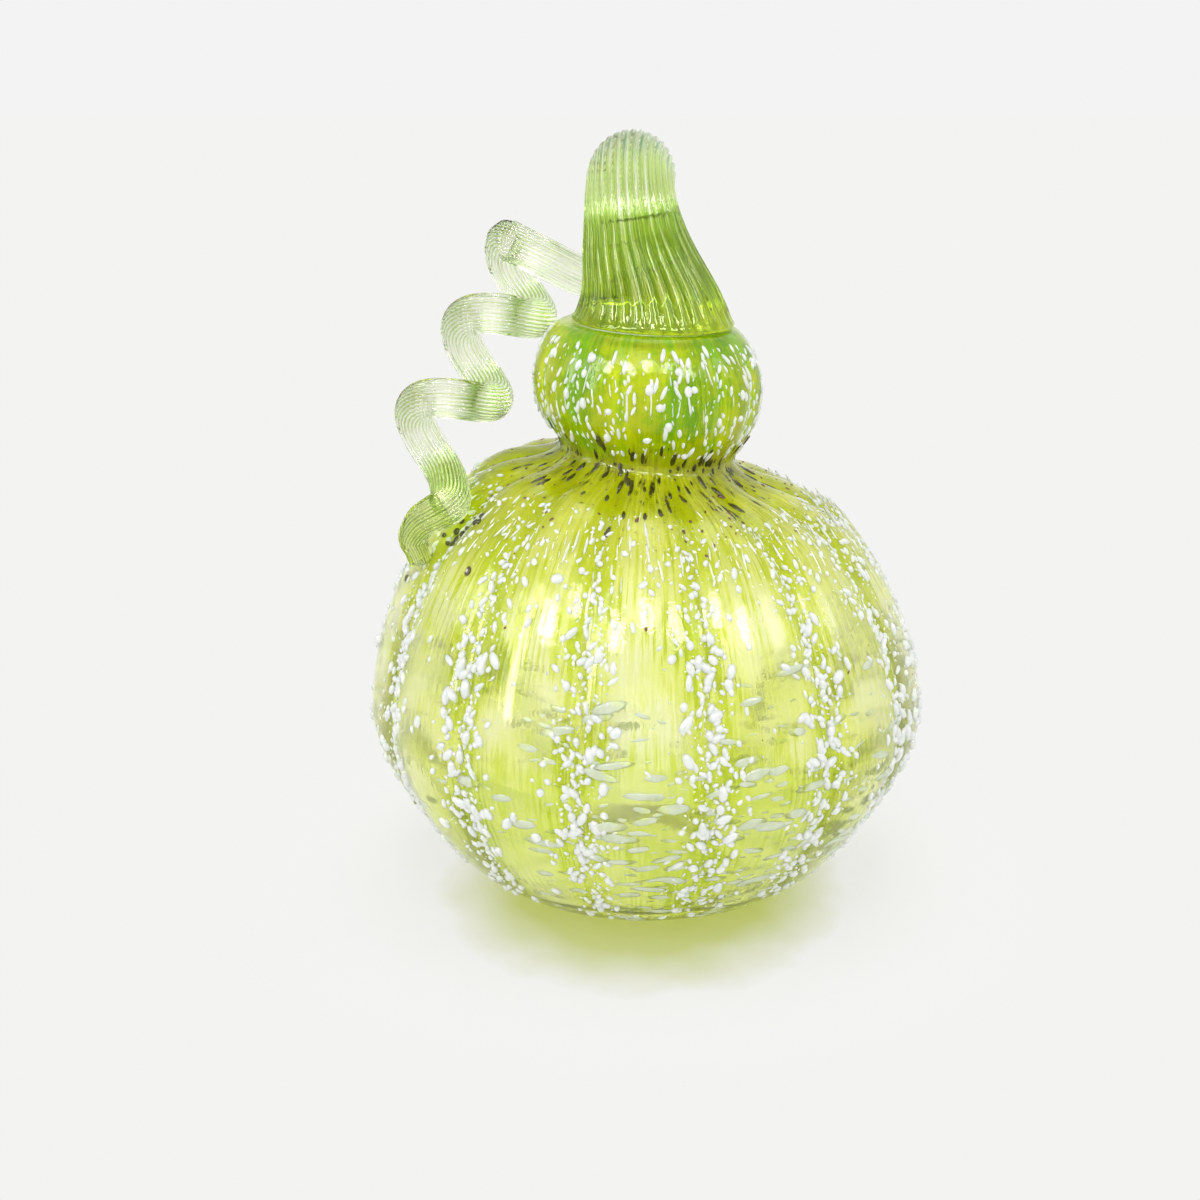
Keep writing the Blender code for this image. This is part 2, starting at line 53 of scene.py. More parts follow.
# How far the outside runs on in its own direction at those places
FOOT_SWELL = 0.0135
LOWER_FLANK = 0.0110
LOWER_CROWN = 0.0190
SHOULDER_RUN = 0.0210
SHOULDER_FALL = math.radians(12.0)
WAIST_FILLET = 0.0040
WAIST_FLANK = 0.0015
WAIST_RISE = 0.0030
UPPER_FLANK = 0.0085
UPPER_CROWN = 0.0070
NECK_RUN = 0.0014
OUTLINE_STEPS = 80

WALL = 0.0030
FLOOR_WALL = 0.0050
MOUTH_RADIUS = 0.0085
PONTIL_RADIUS = 0.0105
PONTIL_DEPTH = 0.0008
PONTIL_EDGE = (0.0006, 0.0002)  # the worn edge round the pontil mark, across and deep
PONTIL_MIDDLE = 0.003
DISH_RADIUS = 0.0074
DISH_DEPTH = 0.0006
DISH_EDGE = (0.001, 0.8)  # this far beyond the dish, at this share of its depth

# Optic lobes pressed in by the ribbed mould, and their depth at each of the places above
LOBES = 14
LOBE_SHARPNESS = 0.70
LOBE_DEPTHS = (0.0, 0.0021, 0.0021, 0.0004, 0.0009, 0.0)
INNER_LOBE_SHARE = 0.45
INNER_CREASE = 0.4  # how deep the crease's colour is on the inside of the bubble
# The soft glass sank to its right: where its slope changes, and the slope there
LEAN_HEIGHTS = (LOWER[1], 0.0800, SHOULDER[1], UPPER[1])
LEAN_SLOPES = (0.0, 0.040, 0.115, 0.047)

LOBE_SIDES = 16
BULB_SIDES = LOBE_SIDES * LOBES
OUTER_RINGS = 190
INNER_RINGS = 90
PROBE = (0.001, 0.0004)  # how far out of the skin and along it its directions are read
FLOW_RADIUS = 0.06  # the streaks are read on a tube of this radius, so that they run up the bulb

# Stem, as the part has it, but with finer ribs
SEAT_GAP = 0.0003
SEAT_OFFSET = 0.0010
FOOT_EDGE = 0.0008
FOOT_DISC = (0.5, 0.93)  # shares of the foot's radius
FOOT_ROUND = ((0.0, 0.965), (0.3, 0.99))  # shares of the edge's height and of the foot's radius
STEM_FOOT_RADIUS = 0.0170
STEM_RADIUS = 0.0092
STEM_HEIGHT = 0.0195
STEM_SWAY = 0.0042
STEM_EASE = 0.40
STEM_STEPS = 40
FLARE_LENGTH = 0.0290
FLARE_POWER = 1.6
CROOK_RADIUS = 0.0100
CROOK_TILT = 0.16
CROOK_ANGLE = math.radians(160.0)
CROOK_HEADING = math.radians(9.0)
CROOK_STEPS = 60
CROWN = 0.45
DRAWN_LENGTH = 0.0030
DRAWN_RADIUS = 0.0054
DRAWN_STEPS = 4
RIBS = 32
RIB_SIDES = 6 * RIBS
RIB_SHARPNESS = 0.9
STEM_RIB = 0.00066
TENDRIL_RIB = 0.00040
RIB_FADE = 0.004  # the ribs rise over this length from the foot
RIB_CHANGE = 0.02  # and change to the tendril's over this length from the drawn end
STEM_FLOW = (8, 1000)  # its streaks are read on a tube of this radius, with the run times this

# Tendril, as the part has it
TENDRIL_RADIUS = 0.0044
COIL_END_RADIUS = 0.0041
TIP_RADIUS = 0.0028
TAPER_LENGTH = 0.0200
COIL_RADIUS = 0.0068
COIL_PITCH = 0.0227
COIL_START = 0.45
COIL_END = 2.92
COIL_CLEARANCE = 0.0032
COIL_HEADING = math.radians(-89.5)
COIL_DROP = 0.0029
LOOP_POINTS = 24
LOOP_FACE = Vector((-0.52, -0.35, -0.78))
COIL_FOOT = Vector((0.0001, 0.0036, 0.0198))
TIP_TURN = math.radians(-70.0)
TIP_HEIGHT = 0.0731
TIP_UPRIGHT = 1.8
BEHIND_STEM = (
    (-0.0029, 0.0047, -0.0140),
    (-0.0089, 0.0030, -0.0146),
    (-0.0149, 0.0005, -0.0134),
    (-0.0229, -0.0010, -0.0094),
)
LAST_TURN = ((0.0064, -0.0028, 0.0132), (0.0034, -0.0040, 0.0113), (0.0006, -0.0034, 0.0094))
TENDRIL_STEP = 0.0006  # from ring to ring
# The tendril's rib valleys are painted a deeper green, as shade, where it runs to the back or the front,
# from this slant on and over this span
BEND_FROM = 0.30
BEND_SPAN = 0.5

# Single chips: degrees round from the front, and height on the bulb's outline
WHITE_ON_UPPER = ((-59.5, 0.1165), (-38, 0.1155), (-30, 0.1172), (-33, 0.1141), (-51, 0.1103), (-43, 0.1094))
WHITE_ON_UPPER += ((-19, 0.1071), (-21, 0.1012), (1, 0.1122), (6, 0.1087), (10.5, 0.1045), (23, 0.1123))
WHITE_ON_UPPER += ((39, 0.1050), (22, 0.0983), (16, 0.1158), (53, 0.1103))
UPPER_BEADS = 12  # and the part's own beads, on a golden spiral
GOLDEN_ANGLE = 137.5
UPPER_BEADS_FROM = 0.1010
UPPER_BEADS_SPAN = 0.0155
TIP_SEEDS = ((-67, 0.0822), (-59, 0.0835), (-60, 0.0818), (-66, 0.0806), (-63, 0.0796), (-69, 0.0788))
TIP_SEEDS += ((-66, 0.0782), (-79, 0.0698), (-74, 0.0686), (-60.5, 0.0808), (-57.5, 0.0829), (-56, 0.0840))
TIP_SEEDS += ((-63, 0.0787), (-55.5, 0.0832))
DARK_AT_WAIST = ((-32, 0.0940), (-16, 0.0938), (-26, 0.0903), (-17, 0.0907), (-1, 0.0918), (5, 0.0896))
DARK_AT_WAIST += ((-8, 0.0890), (-13, 0.0868), (-68.5, 0.1005), (-12.2, 0.0870), (-0.5, 0.0888))
BROWN_AT_WAIST = ((41, 0.0917), (34, 0.0900), (16, 0.0891), (12.6, 0.0880), (36.7, 0.0888), (-3, 0.0883))
RINGED_CHIP = (-48, 0.0757)
PILL = (-22, 0.0782)
PROUD_BEAD = (-84, 0.0530)
RING_LIFT = 0.0004  # the middle of its rings, above the skin
RING_REACH = (0.0004, 0.0013)  # how far out its pale heart ends and its rim begins

# Creases, counted round from the front, whose beads are one piece each time
CREASE_RUNS = ((1, 4), (5, 7), (8, 11), (12, 14))
CREASE_SPREAD = 0.0050  # how far the beads of a crease spread over the lobes
# Bands of skin that chips are scattered over: lowest and highest height, and rows of points between them
CREASE_BAND = (0.0030, 0.0890, 150)
SMEAR_BAND = (0.003, 0.066, 80)
UPPER_BAND = (0.0975, 0.1195, 30)
STREAK_BAND = (0.0780, 0.1190, 60)
SPECK_BAND = (0.0450, 0.0985, 60)
WAIST_BAND = (0.0885, 0.1006, 30)
BAND_COLUMNS = BULB_SIDES // 2 + 1
BAND_SINK = 0.0001
WAIST_SINK = 0.0002
# Where chips lie thickest, as a turn or a height, and how far from there they reach
STRAY_TURN = (1.35, 0.55)
SMEAR_TURN = (0.35, 0.75)
SMEAR_HEIGHT = (0.030, 0.032)
CROWN_STREAKS = (0.0840, 0.0060)
UPPER_STREAKS = (0.1080, 0.0110)
SPECK_HEIGHT = (0.0900, 0.0070)
WAIST_HEIGHT = (0.0950, 0.0056)
# Where beads begin to stray over the crown and to thin out at the foot, and over what rise
STRAY_CROWN = (0.066, 0.014)
FOOT_FADE = (0.001, 0.012)
# How big the beads in the creases are, by height
GRAIN_HEIGHTS = (0.0, 0.030, 0.060, 0.074, 0.089)
GRAINS = (0.75, 1.0, 1.0, 0.75, 0.5)

# Studio: the pale of its backdrop, the floor's contact shade and the painted lime shadow under the bulb,
# tinted as by the light that falls through the glass
PALE = 0.896
FLOOR_WHITE = (0.90, 0.885, 0.875, 1.0)
FLOOR_SIZE = 6.0
FLOOR_DROP = -0.0002
ROOM_LIGHT = 0.79
# Painted shadow: the floor's glow turns darker and lime under the bulb, seen straight and through the glass,
# with where it lies and how its edge runs
PAINTED_LIME_SHADOW = (0.51, 0.57, 0.12)
PAINTED_LIME_SHADOW_THROUGH_GLASS = (0.76, 0.83, 0.36)
PAINTED_SHADOW_AHEAD = (0.0, 0.014, 0.0)
PAINTED_SHADOW_OVAL = (1.1, 1.0, 0.0)
PAINTED_SHADOW_EDGE = (0.036, 0.056)
PAINTED_SHADOW_WAVE = 0.012
PAINTED_SHADOW_WIDER = 0.036  # by so much where it is seen through the glass
CONTACT_SHADE = (0.050, 0.095, 0.74, 1.0)  # between these distances, from this share of the pale to this
WARMTH = 0.985  # the blue of the floor's glow, as a share of the pale
LAMP_AIM = Vector((0.0, 0.0, 0.07))
TALL_PANE = 0.8
LAMPS = (
    ("front", (-0.10, -0.58, 0.85), 0.40, 1.35),
    ("low", (0.05, -0.75, 0.12), 0.40, 0.9),
    ("left", (-0.75, -0.20, 0.45), 0.25, 0.8),
    ("right", (0.75, -0.15, 0.50), 0.25, 0.8),
    ("top", (0.05, 0.25, 0.95), 0.45, 1.4),
    ("pane_1", (-0.40, -0.60, 0.60), 0.20, 4.2),
    ("pane_2", (0.04, -0.62, 0.74), 0.20, 4.0),
    ("pane_3", (0.44, -0.50, 0.58), 0.18, 2.4),
    ("pane_4", (-0.75, -0.45, 0.45), 0.14, 5.0),
)
CAMERA_PLACE = (0.0, -0.3885, 0.1845)
CAMERA_TILT = math.radians(72.38)
CAMERA_TURN = math.radians(1.469)
CAMERA_SENSOR = 36.0
CAMERA_LENS = 56.145

REPLACED = {
    "bulb_glass": ("blown_bulb",),
    "stem_glass": ("stem", "tendril"),
    **{
        f"crease_beads_{i}": tuple(f"crease_frit_{row:02d}" for row in range(first, last + 1))
        for i, (first, last) in enumerate(CREASE_RUNS, start=1)
    },
    "upper_drops": tuple(f"upper_bead_{i:02d}" for i in range(1, UPPER_BEADS + 1)),
    "tip_seeds_glass": tuple(f"tip_seed_{i}" for i in range(1, 10)),
    "waist_spots": tuple(f"waist_chip_{i}" for i in range(1, 9)),
    "brown_flecks": tuple(f"brown_chip_{i}" for i in range(1, 4)),
    "ringed_chip_glass": ("ringed_chip",),
    "pill_glass": ("white_pill",),
    "proud_bead_glass": ("proud_bead",),
}


def bezier(a, b, c, d, steps):
    t = np.arange(steps)[:, None] / steps
    a, b, c, d = map(np.asarray, (a, b, c, d))
    return (1 - t) ** 3 * a + 3 * (1 - t) ** 2 * t * b + 3 * (1 - t) * t**2 * c + t**3 * d


def smooth_steps(x, places, values):
    """Eased from each value to the next between their places."""
    x = np.asarray(x, float)
    result = np.full(x.shape, values[0], float)
    for a, b, low, high in zip(places, places[1:], values, values[1:]):
        share = np.clip((x - a) / (b - a), 0.0, 1.0)
        result = np.where(x >= a, low + (high - low) * share**2 * (3 - 2 * share), result)
    return result


def near(value, middle, reach, least=0.0, top=1.0):
    """1 at the middle and the least beyond the reach; flat for a while where the top is over 1."""
    return np.clip(top - np.abs(value - middle) / reach, least, 1.0)


def lobe(turn):
    """1 on the middle of a lobe and 0 in a crease."""
    return (np.cos(LOBES * turn / 2) ** 2) ** (LOBE_SHARPNESS / 2)


def outline_spans():
    """The five curves of the bulb's outside."""
    out, down = math.cos(SHOULDER_FALL), math.sin(SHOULDER_FALL)
    above_lower = (LOWER[0], LOWER[1] + LOWER_CROWN)
    before_shoulder = (SHOULDER[0] + SHOULDER_RUN * out, SHOULDER[1] - SHOULDER_RUN * down)
    after_shoulder = (SHOULDER[0] - WAIST_FILLET * out, SHOULDER[1] + WAIST_FILLET * down)
    return (
        (FOOT, (FOOT[0] + FOOT_SWELL, 0.0), (LOWER[0], LOWER[1] - LOWER_FLANK), LOWER),
        (LOWER, above_lower, before_shoulder, SHOULDER),
        (SHOULDER, after_shoulder, (WAIST[0], WAIST[1] - WAIST_FLANK), WAIST),
        (WAIST, (WAIST[0], WAIST[1] + WAIST_RISE), (UPPER[0], UPPER[1] - UPPER_FLANK), UPPER),
        (UPPER, (UPPER[0], UPPER[1] + UPPER_CROWN), (NECK[0] + NECK_RUN, NECK[1]), NECK),
    )


class Skin:
    """The bulb's outside, read by the turn round it and by the length run up its outline."""

    def __init__(self):
        points = np.concatenate([bezier(*span, OUTLINE_STEPS) for span in outline_spans()] + [[NECK]])
        self.length = np.concatenate([[0.0], np.cumsum(np.hypot(*np.diff(points, axis=0).T))])
        self.radius, self.height = points.T
        slope = np.gradient(points, self.length, axis=0)
        size = np.hypot(slope[:, 1], -slope[:, 0])
        self.out, self.up = slope[:, 1] / size, -slope[:, 0] / size
        ends = [self.length[i * OUTLINE_STEPS] for i in range(len(LOBE_DEPTHS))]
        self.top = ends[-1]
        self.depth = smooth_steps(self.length, ends, LOBE_DEPTHS)

    def length_at(self, height):
        return float(np.interp(height, self.height, self.length))

    def height_at(self, length):
        return np.interp(length, self.length, self.height)

    def place(self, turn, length, lift=0.0, share=1.0):
        """Points on the skin, for arrays of turns and lengths."""
        turn, length = np.broadcast_arrays(np.asarray(turn, float), np.asarray(length, float))
        radius, height, out, up, depth = (
            np.interp(length, self.length, column)
            for column in (self.radius, self.height, self.out, self.up, self.depth)
        )
        off = lift - depth * share * (1 - lobe(turn))
        radius, height = radius + off * out, height + off * up
        return leaning(radius * np.sin(turn), -radius * np.cos(turn), height)

    def frame(self, turn, length):
        """Points on the skin, with the directions out of it and up along it."""
        here = self.place(turn, length)
        out = self.place(turn, length, lift=PROBE[0]) - here
        length = np.asarray(length)
        along = self.place(turn, length + PROBE[1]) - self.place(turn, length - PROBE[1])
        out /= np.linalg.norm(out, axis=-1, keepdims=True)
        along /= np.linalg.norm(along, axis=-1, keepdims=True)
        return here, out, along


def leaning(x, y, height):
    """Points of the leaning bulb from those of an upright one."""
    return np.stack([x, y, height - x * smooth_steps(height, LEAN_HEIGHTS, LEAN_SLOPES)], axis=-1)


def leaned(x, y, z):
    return Vector(leaning(x, y, z))


SKIN = Skin()


def new_object(name, mesh):
    obj = bpy.data.objects.new(name, mesh)
    bpy.context.scene.collection.objects.link(obj)
    return obj


def rings_mesh(name, rings):
    """A closed skin from an array of rings of points, shut by a pole at each end."""
    count, sides = rings.shape[:2]
    poles = rings[0].mean(axis=0)[None], rings[-1].mean(axis=0)[None]
    points = np.concatenate([rings.reshape(-1, 3), *poles])
    i = np.arange(sides)
    j = (i + 1) % sides
    rows = np.arange(count - 1)[:, None] * sides
    quads = np.stack([rows + i, rows + j, rows + sides + j, rows + sides + i], axis=-1).reshape(-1, 4)
    first, last = count * sides, count * sides + 1
    top = (count - 1) * sides
    faces = quads.tolist()
    faces += np.stack([np.full(sides, first), j, i], axis=1).tolist()
    faces += np.stack([np.full(sides, last), top + i, top + j], axis=1).tolist()
    mesh = bpy.data.meshes.new(name)
    mesh.from_pydata(points, [], faces)
    mesh.shade_smooth()
    return mesh


def turn_out(mesh):
    """All faces point outwards."""
    shape = bmesh.new()
    shape.from_mesh(mesh)
    bmesh.ops.recalc_face_normals(shape, faces=shape.faces)
    shape.to_mesh(mesh)
    shape.free()


def mark(mesh, name, values, kind="FLOAT"):
    """Writes one value for each point into a named attribute."""
    layer = mesh.attributes.new(name, kind, "POINT")
    key = "vector" if kind == "FLOAT_VECTOR" else "value"
    layer.data.foreach_set(key, np.asarray(values, np.float32).ravel())


def mark_rings(mesh, name, rings, poles=(0.0, 0.0)):
    """The same for a skin of rings, with a value for each pole."""
    mark(mesh, name, np.concatenate([np.concatenate(rings), poles]))


def mark_flow(mesh, rings):
    mark(mesh, "flow", np.concatenate([np.concatenate(rings), np.zeros((2, 3))]), "FLOAT_VECTOR")


# Materials


class Nodes:
    """A short way to write node trees."""

    def __init__(self, tree):
        self.tree = tree

    def put(self, value, socket):
        """Links a socket into another, or gives it a value."""
        if isinstance(value, bpy.types.NodeSocket):
            self.tree.links.new(value, socket)
        else:
            socket.default_value = value

    def add(self, kind, inputs=None, **settings):
        node = self.tree.nodes.new(kind)
        for key, value in settings.items():
            setattr(node, key, value)
        for key, value in (inputs or {}).items():
            self.put(value, node.inputs[key])
        return node

    def math(self, operation, a, b=0.0, clamp=False):
        return self.add("ShaderNodeMath", {0: a, 1: b}, operation=operation, use_clamp=clamp).outputs[0]

    def plus(self, a, b, clamp=False):
        return self.math("ADD", a, b, clamp)

    def minus(self, a, b):
        return self.math("SUBTRACT", a, b)

    def times(self, a, b, clamp=False):
        return self.math("MULTIPLY", a, b, clamp)

    def vector(self, operation, a, b=None):
        inputs = {0: a}
        if b is not None:
            inputs[3 if operation == "SCALE" else 1] = b
        node = self.add("ShaderNodeVectorMath", inputs, operation=operation)
        return node.outputs["Value" if operation in ("LENGTH", "DISTANCE") else "Vector"]

    def noise(self, vector, scale, detail=2.0, roughness=0.5):
        inputs = {"Vector": vector, "Scale": scale, "Detail": detail, "Roughness": roughness}
        return self.add("ShaderNodeTexNoise", inputs).outputs["Fac"]

    def ramp(self, value, *stops):
        node = self.add("ShaderNodeValToRGB", {0: value})
        elements = node.color_ramp.elements
        while len(elements) < len(stops):
            elements.new(0.5)
        for element, (place, colour) in zip(elements, stops):
            element.position = place
            element.color = (*colour, 1.0)
        return node.outputs[0]

    def span(self, value, low, high, to_low=0.0, to_high=1.0):
        inputs = {"Value": value, "From Min": low, "From Max": high, "To Min": to_low, "To Max": to_high}
        return self.add("ShaderNodeMapRange", inputs).outputs[0]

    def blend(self, share, a, b):
        node = self.add("ShaderNodeMix", {0: share}, data_type="RGBA")
        for socket, value in ((node.inputs[6], a), (node.inputs[7], b)):
            self.put((*value, 1.0) if isinstance(value, tuple) else value, socket)
        return node.outputs[2]

    def attribute(self, name, output="Fac"):
        return self.add("ShaderNodeAttribute", attribute_name=name).outputs[output]

    def place(self):
        return self.add("ShaderNodeTexCoord").outputs["Object"]


def new_material(name):
    material = bpy.data.materials.new(name)
    material.use_nodes = True
    ready = material.node_tree.nodes
    return material, Nodes(material.node_tree), ready["Principled BSDF"], ready["Material Output"]


def ripple(n, shader, height, strength, distance):
    bump = n.add("ShaderNodeBump", {"Height": height, "Strength": strength, "Distance": distance})
    n.put(bump.outputs[0], shader.inputs["Normal"])


def absorb(n, output, colour, density):
    """Thick glass takes more of its colour than thin glass."""
    volume = n.add("ShaderNodeVolumeAbsorption", {"Color": (*colour, 1.0), "Density": density})
    n.put(volume.outputs[0], output.inputs["Volume"])


def lime_patterns(n):
    """What the lime glass is streaked and clouded by: drawn streaks, patches and a fine grain."""
    place = n.place()
    drawn = n.vector("MULTIPLY", n.attribute("flow", "Vector"), (1.0, 1.0, 0.06))
    streaks = n.noise(drawn, 900.0, 3.0, 0.6)
    patches = n.noise(place, 46.0)
    fine = n.noise(place, 420.0, 3.0, 0.65)
    worn = n.noise(place, 75.0)
    height = n.add("ShaderNodeSeparateXYZ", {0: place}).outputs["Z"]
    return streaks, patches, fine, worn, height


def lime_lower(n, crease, height, streaks, patches, fine, worn):
    """How deep the lower bulb's lime is: its furrows, the streaks in it, and the whole depth."""
    high = n.span(height, 0.060, 0.076)
    share = n.plus(n.span(height, 0.056, 0.080, 0.08, 0.44), n.span(worn, 0.46, 0.58, 0.0, 0.52))
    lines = n.times(n.span(streaks, 0.48, 0.56), share)
    blots = n.span(n.plus(patches, n.times(fine, 0.22)), 0.62, 0.72, 0.0, 0.26)
    furrow = n.times(n.span(crease, 0.16, 0.54, 0.0, 0.66), n.plus(n.times(high, 0.5), 1.0))
    furrow = n.times(furrow, n.span(n.times(n.plus(streaks, fine), 0.5), 0.40, 0.60, 0.55, 1.25))
    crown = n.span(height, 0.062, 0.080, 0.0, 0.14)
    belly = n.minus(n.span(height, 0.048, 0.032, 0.0, 0.13), n.span(height, 0.028, 0.016, 0.0, 0.09))
    deep = n.plus(n.plus(n.plus(furrow, n.plus(lines, blots)), belly), crown, clamp=True)
    return high, furrow, lines, deep


def lime_upper(n, crease, lines, patches, fine):
    """How deep the upper bulb's green is."""
    shade = n.plus(n.span(patches, 0.46, 0.64, 0.0, 0.7), n.times(lines, 0.5))
    shade = n.plus(shade, n.span(crease, 0.40, 0.85, -0.10, 0.32))
    return n.plus(shade, n.span(fine, 0.42, 0.60, -0.06, 0.30), clamp=True)


def lime_glass():
    """Lime glass: pale where the bubble is thin, deep in the creases, streaked along the blow."""
    material, n, shader, output = new_material("lime_glass")
    crease, girth = n.attribute("crease"), n.attribute("girth")
    streaks, patches, fine, worn, height = lime_patterns(n)
    high, furrow, lines, deep = lime_lower(n, crease, height, streaks, patches, fine, worn)
    shade = lime_upper(n, crease, lines, patches, fine)
    lower = n.ramp(
        deep,
        (0.0, (0.99, 1.00, 0.80)),
        (0.30, (0.95, 0.98, 0.50)),
        (0.60, (0.85, 0.91, 0.24)),
        (1.0, (0.60, 0.72, 0.03)),
    )
    upper = n.ramp(shade, (0.0, (0.82, 0.87, 0.01)), (0.40, (0.62, 0.77, 0.00)), (0.9, (0.28, 0.58, 0.00)))
    waist = n.ramp(deep, (0.0, (0.80, 0.82, 0.06)), (1.0, (0.56, 0.62, 0.00)))
    colour = n.blend(n.span(girth, 0.070, 0.092), lower, waist)
    colour = n.blend(n.span(girth, 0.095, 0.099), colour, upper)
    cloudy = n.plus(n.times(high, 0.24), n.times(furrow, 0.20))
    n.put(colour, shader.inputs["Base Color"])
    n.put(n.span(patches, 0.3, 0.7, 0.01, 0.04), shader.inputs["Roughness"])
    n.put(n.minus(0.90, cloudy), shader.inputs["Transmission Weight"])
    shader.inputs["IOR"].default_value = 1.36
    wavy = n.plus(n.times(streaks, 0.22), n.times(patches, 1.8))
    wavy = n.plus(wavy, n.times(fine, n.span(high, 0.0, 1.0, 0.18, 0.80)))
    ripple(n, shader, wavy, 0.20, 0.0008)
    absorb(n, output, (0.88, 0.95, 0.40), 9.0)
    return material


def green_ramps(n, ragged):
    """The stem's colours in the valleys and on the ridges of its ribs, by shares of its whole run: the
    foot's collar, the olive body, the pale neck, the teal crook, the clear coils and the dark last turn. The
    valleys are partly the glass's own colour and partly painted shade, kept darker than the ridges to stand
    in for the shade of the ribs' lensing, darkest on the last turn."""
    valley = n.ramp(
        ragged,
        (0.000, (0.42, 0.50, 0.01)),
        (0.020, (0.10, 0.19, 0.00)),
        (0.070, (0.15, 0.29, 0.00)),
        (0.084, (0.24, 0.44, 0.02)),
        (0.118, (0.34, 0.56, 0.06)),
        (0.132, (0.06, 0.30, 0.12)),
        (0.200, (0.44, 0.70, 0.16)),
        (0.300, (0.50, 0.72, 0.12)),
        (0.860, (0.44, 0.64, 0.08)),
        (0.890, (0.08, 0.17, 0.00)),
    )
    ridge = n.ramp(
        ragged,
        (0.000, (0.56, 0.66, 0.02)),
        (0.020, (0.22, 0.35, 0.00)),
        (0.070, (0.32, 0.48, 0.01)),
        (0.084, (0.46, 0.66, 0.09)),
        (0.118, (0.64, 0.83, 0.24)),
        (0.132, (0.80, 0.92, 0.72)),
        (0.200, (0.94, 0.98, 0.84)),
        (0.300, (1.00, 1.00, 0.96)),
        (0.860, (1.00, 1.00, 0.94)),
        (0.890, (0.88, 0.97, 0.44)),
    )
    return valley, ridge


def green_glass():
    """The stem's glass: olive-lime at its foot, teal over the crook, nearly clear in the coils."""
    material, n, shader, output = new_material("green_glass")
    run, rib, bend = n.attribute("run"), n.attribute("rib"), n.attribute("bend")
    streaks = n.noise(n.vector("MULTIPLY", n.attribute("flow", "Vector"), (1.0, 1.0, 0.05)), 1.6, 2.0, 0.6)
    ragged = n.plus(run, n.times(n.minus(streaks, 0.5), 0.055))
    valley, ridge = green_ramps(n, ragged)
    # Painted shade: the valley colours fill the rib valleys, wider on the last turn, broken along the
    # streaks
    groove_colour_and_shade = n.blend(n.span(run, 0.24, 0.30), n.span(rib, 0.32, 0.72), n.span(rib, 0.36, 0.76))
    groove_colour_and_shade = n.blend(n.span(run, 0.86, 0.89), groove_colour_and_shade, n.span(rib, 0.25, 0.60))
    groove_colour_and_shade = n.times(groove_colour_and_shade, n.span(streaks, 0.38, 0.62, 0.25, 1.0))
    colour = n.blend(groove_colour_and_shade, ridge, valley)
    # Painted highlight: near-white streaks on the rib ridges along the stem's middle, standing in for glints
    # of light
    painted_glint = n.times(n.span(rib, 0.30, 0.06), n.span(streaks, 0.50, 0.56))
    painted_glint = n.times(painted_glint, n.span(run, 0.10, 0.15, 0.95, 0.0))
    painted_glint = n.times(painted_glint, n.span(run, 0.02, 0.05, 0.25, 1.0))
    colour = n.blend(painted_glint, colour, (1.00, 1.00, 0.86))
    # Painted shade: a deeper green in the rib valleys where the tendril runs to the back or the front
    green = n.times(bend, n.span(rib, 0.08, 0.50), clamp=True)
    colour = n.blend(green, colour, (0.25, 0.48, 0.02))
    n.put(colour, shader.inputs["Base Color"])
    n.put(n.span(run, 0.10, 0.16, 0.92, 0.98), shader.inputs["Transmission Weight"])
    shader.inputs["Roughness"].default_value = 0.02
    shader.inputs["IOR"].default_value = 1.30
    ripple(n, shader, streaks, 0.12, 0.0004)
    absorb(n, output, (0.88, 0.93, 0.50), 8.0)
    return material


def frit_glass(name, light, dark, scale, clear, rough):
    """Opaque or smoky chips, their colour uneven from chip to chip."""
    material, n, shader, _ = new_material(name)
    uneven = n.noise(n.place(), scale, 2.0, 0.6)
    n.put(n.blend(n.span(uneven, 0.35, 0.65), light, dark), shader.inputs["Base Color"])
    n.put(n.span(uneven, 0.3, 0.7, rough, rough + 0.12), shader.inputs["Roughness"])
    shader.inputs["Transmission Weight"].default_value = clear
    shader.inputs["IOR"].default_value = 1.5
    return material


def ringed_glass(centre):
    """A chip with a dark ring round a pale heart."""
    material, n, shader, _ = new_material("ringed_frit")
    place = n.place()
    off = n.plus(n.vector("DISTANCE", place, centre), n.times(n.noise(place, 1500.0), 0.0003))
    pale, dark, rim = (0.62, 0.52, 0.46), (0.07, 0.05, 0.03), (0.30, 0.26, 0.10)
    colour = n.ramp(n.span(off, *RING_REACH), (0.0, pale), (0.22, dark), (0.62, dark), (1.0, rim))
    n.put(colour, shader.inputs["Base Color"])
    shader.inputs["Roughness"].default_value = 0.15
    return material


# Blown bulb


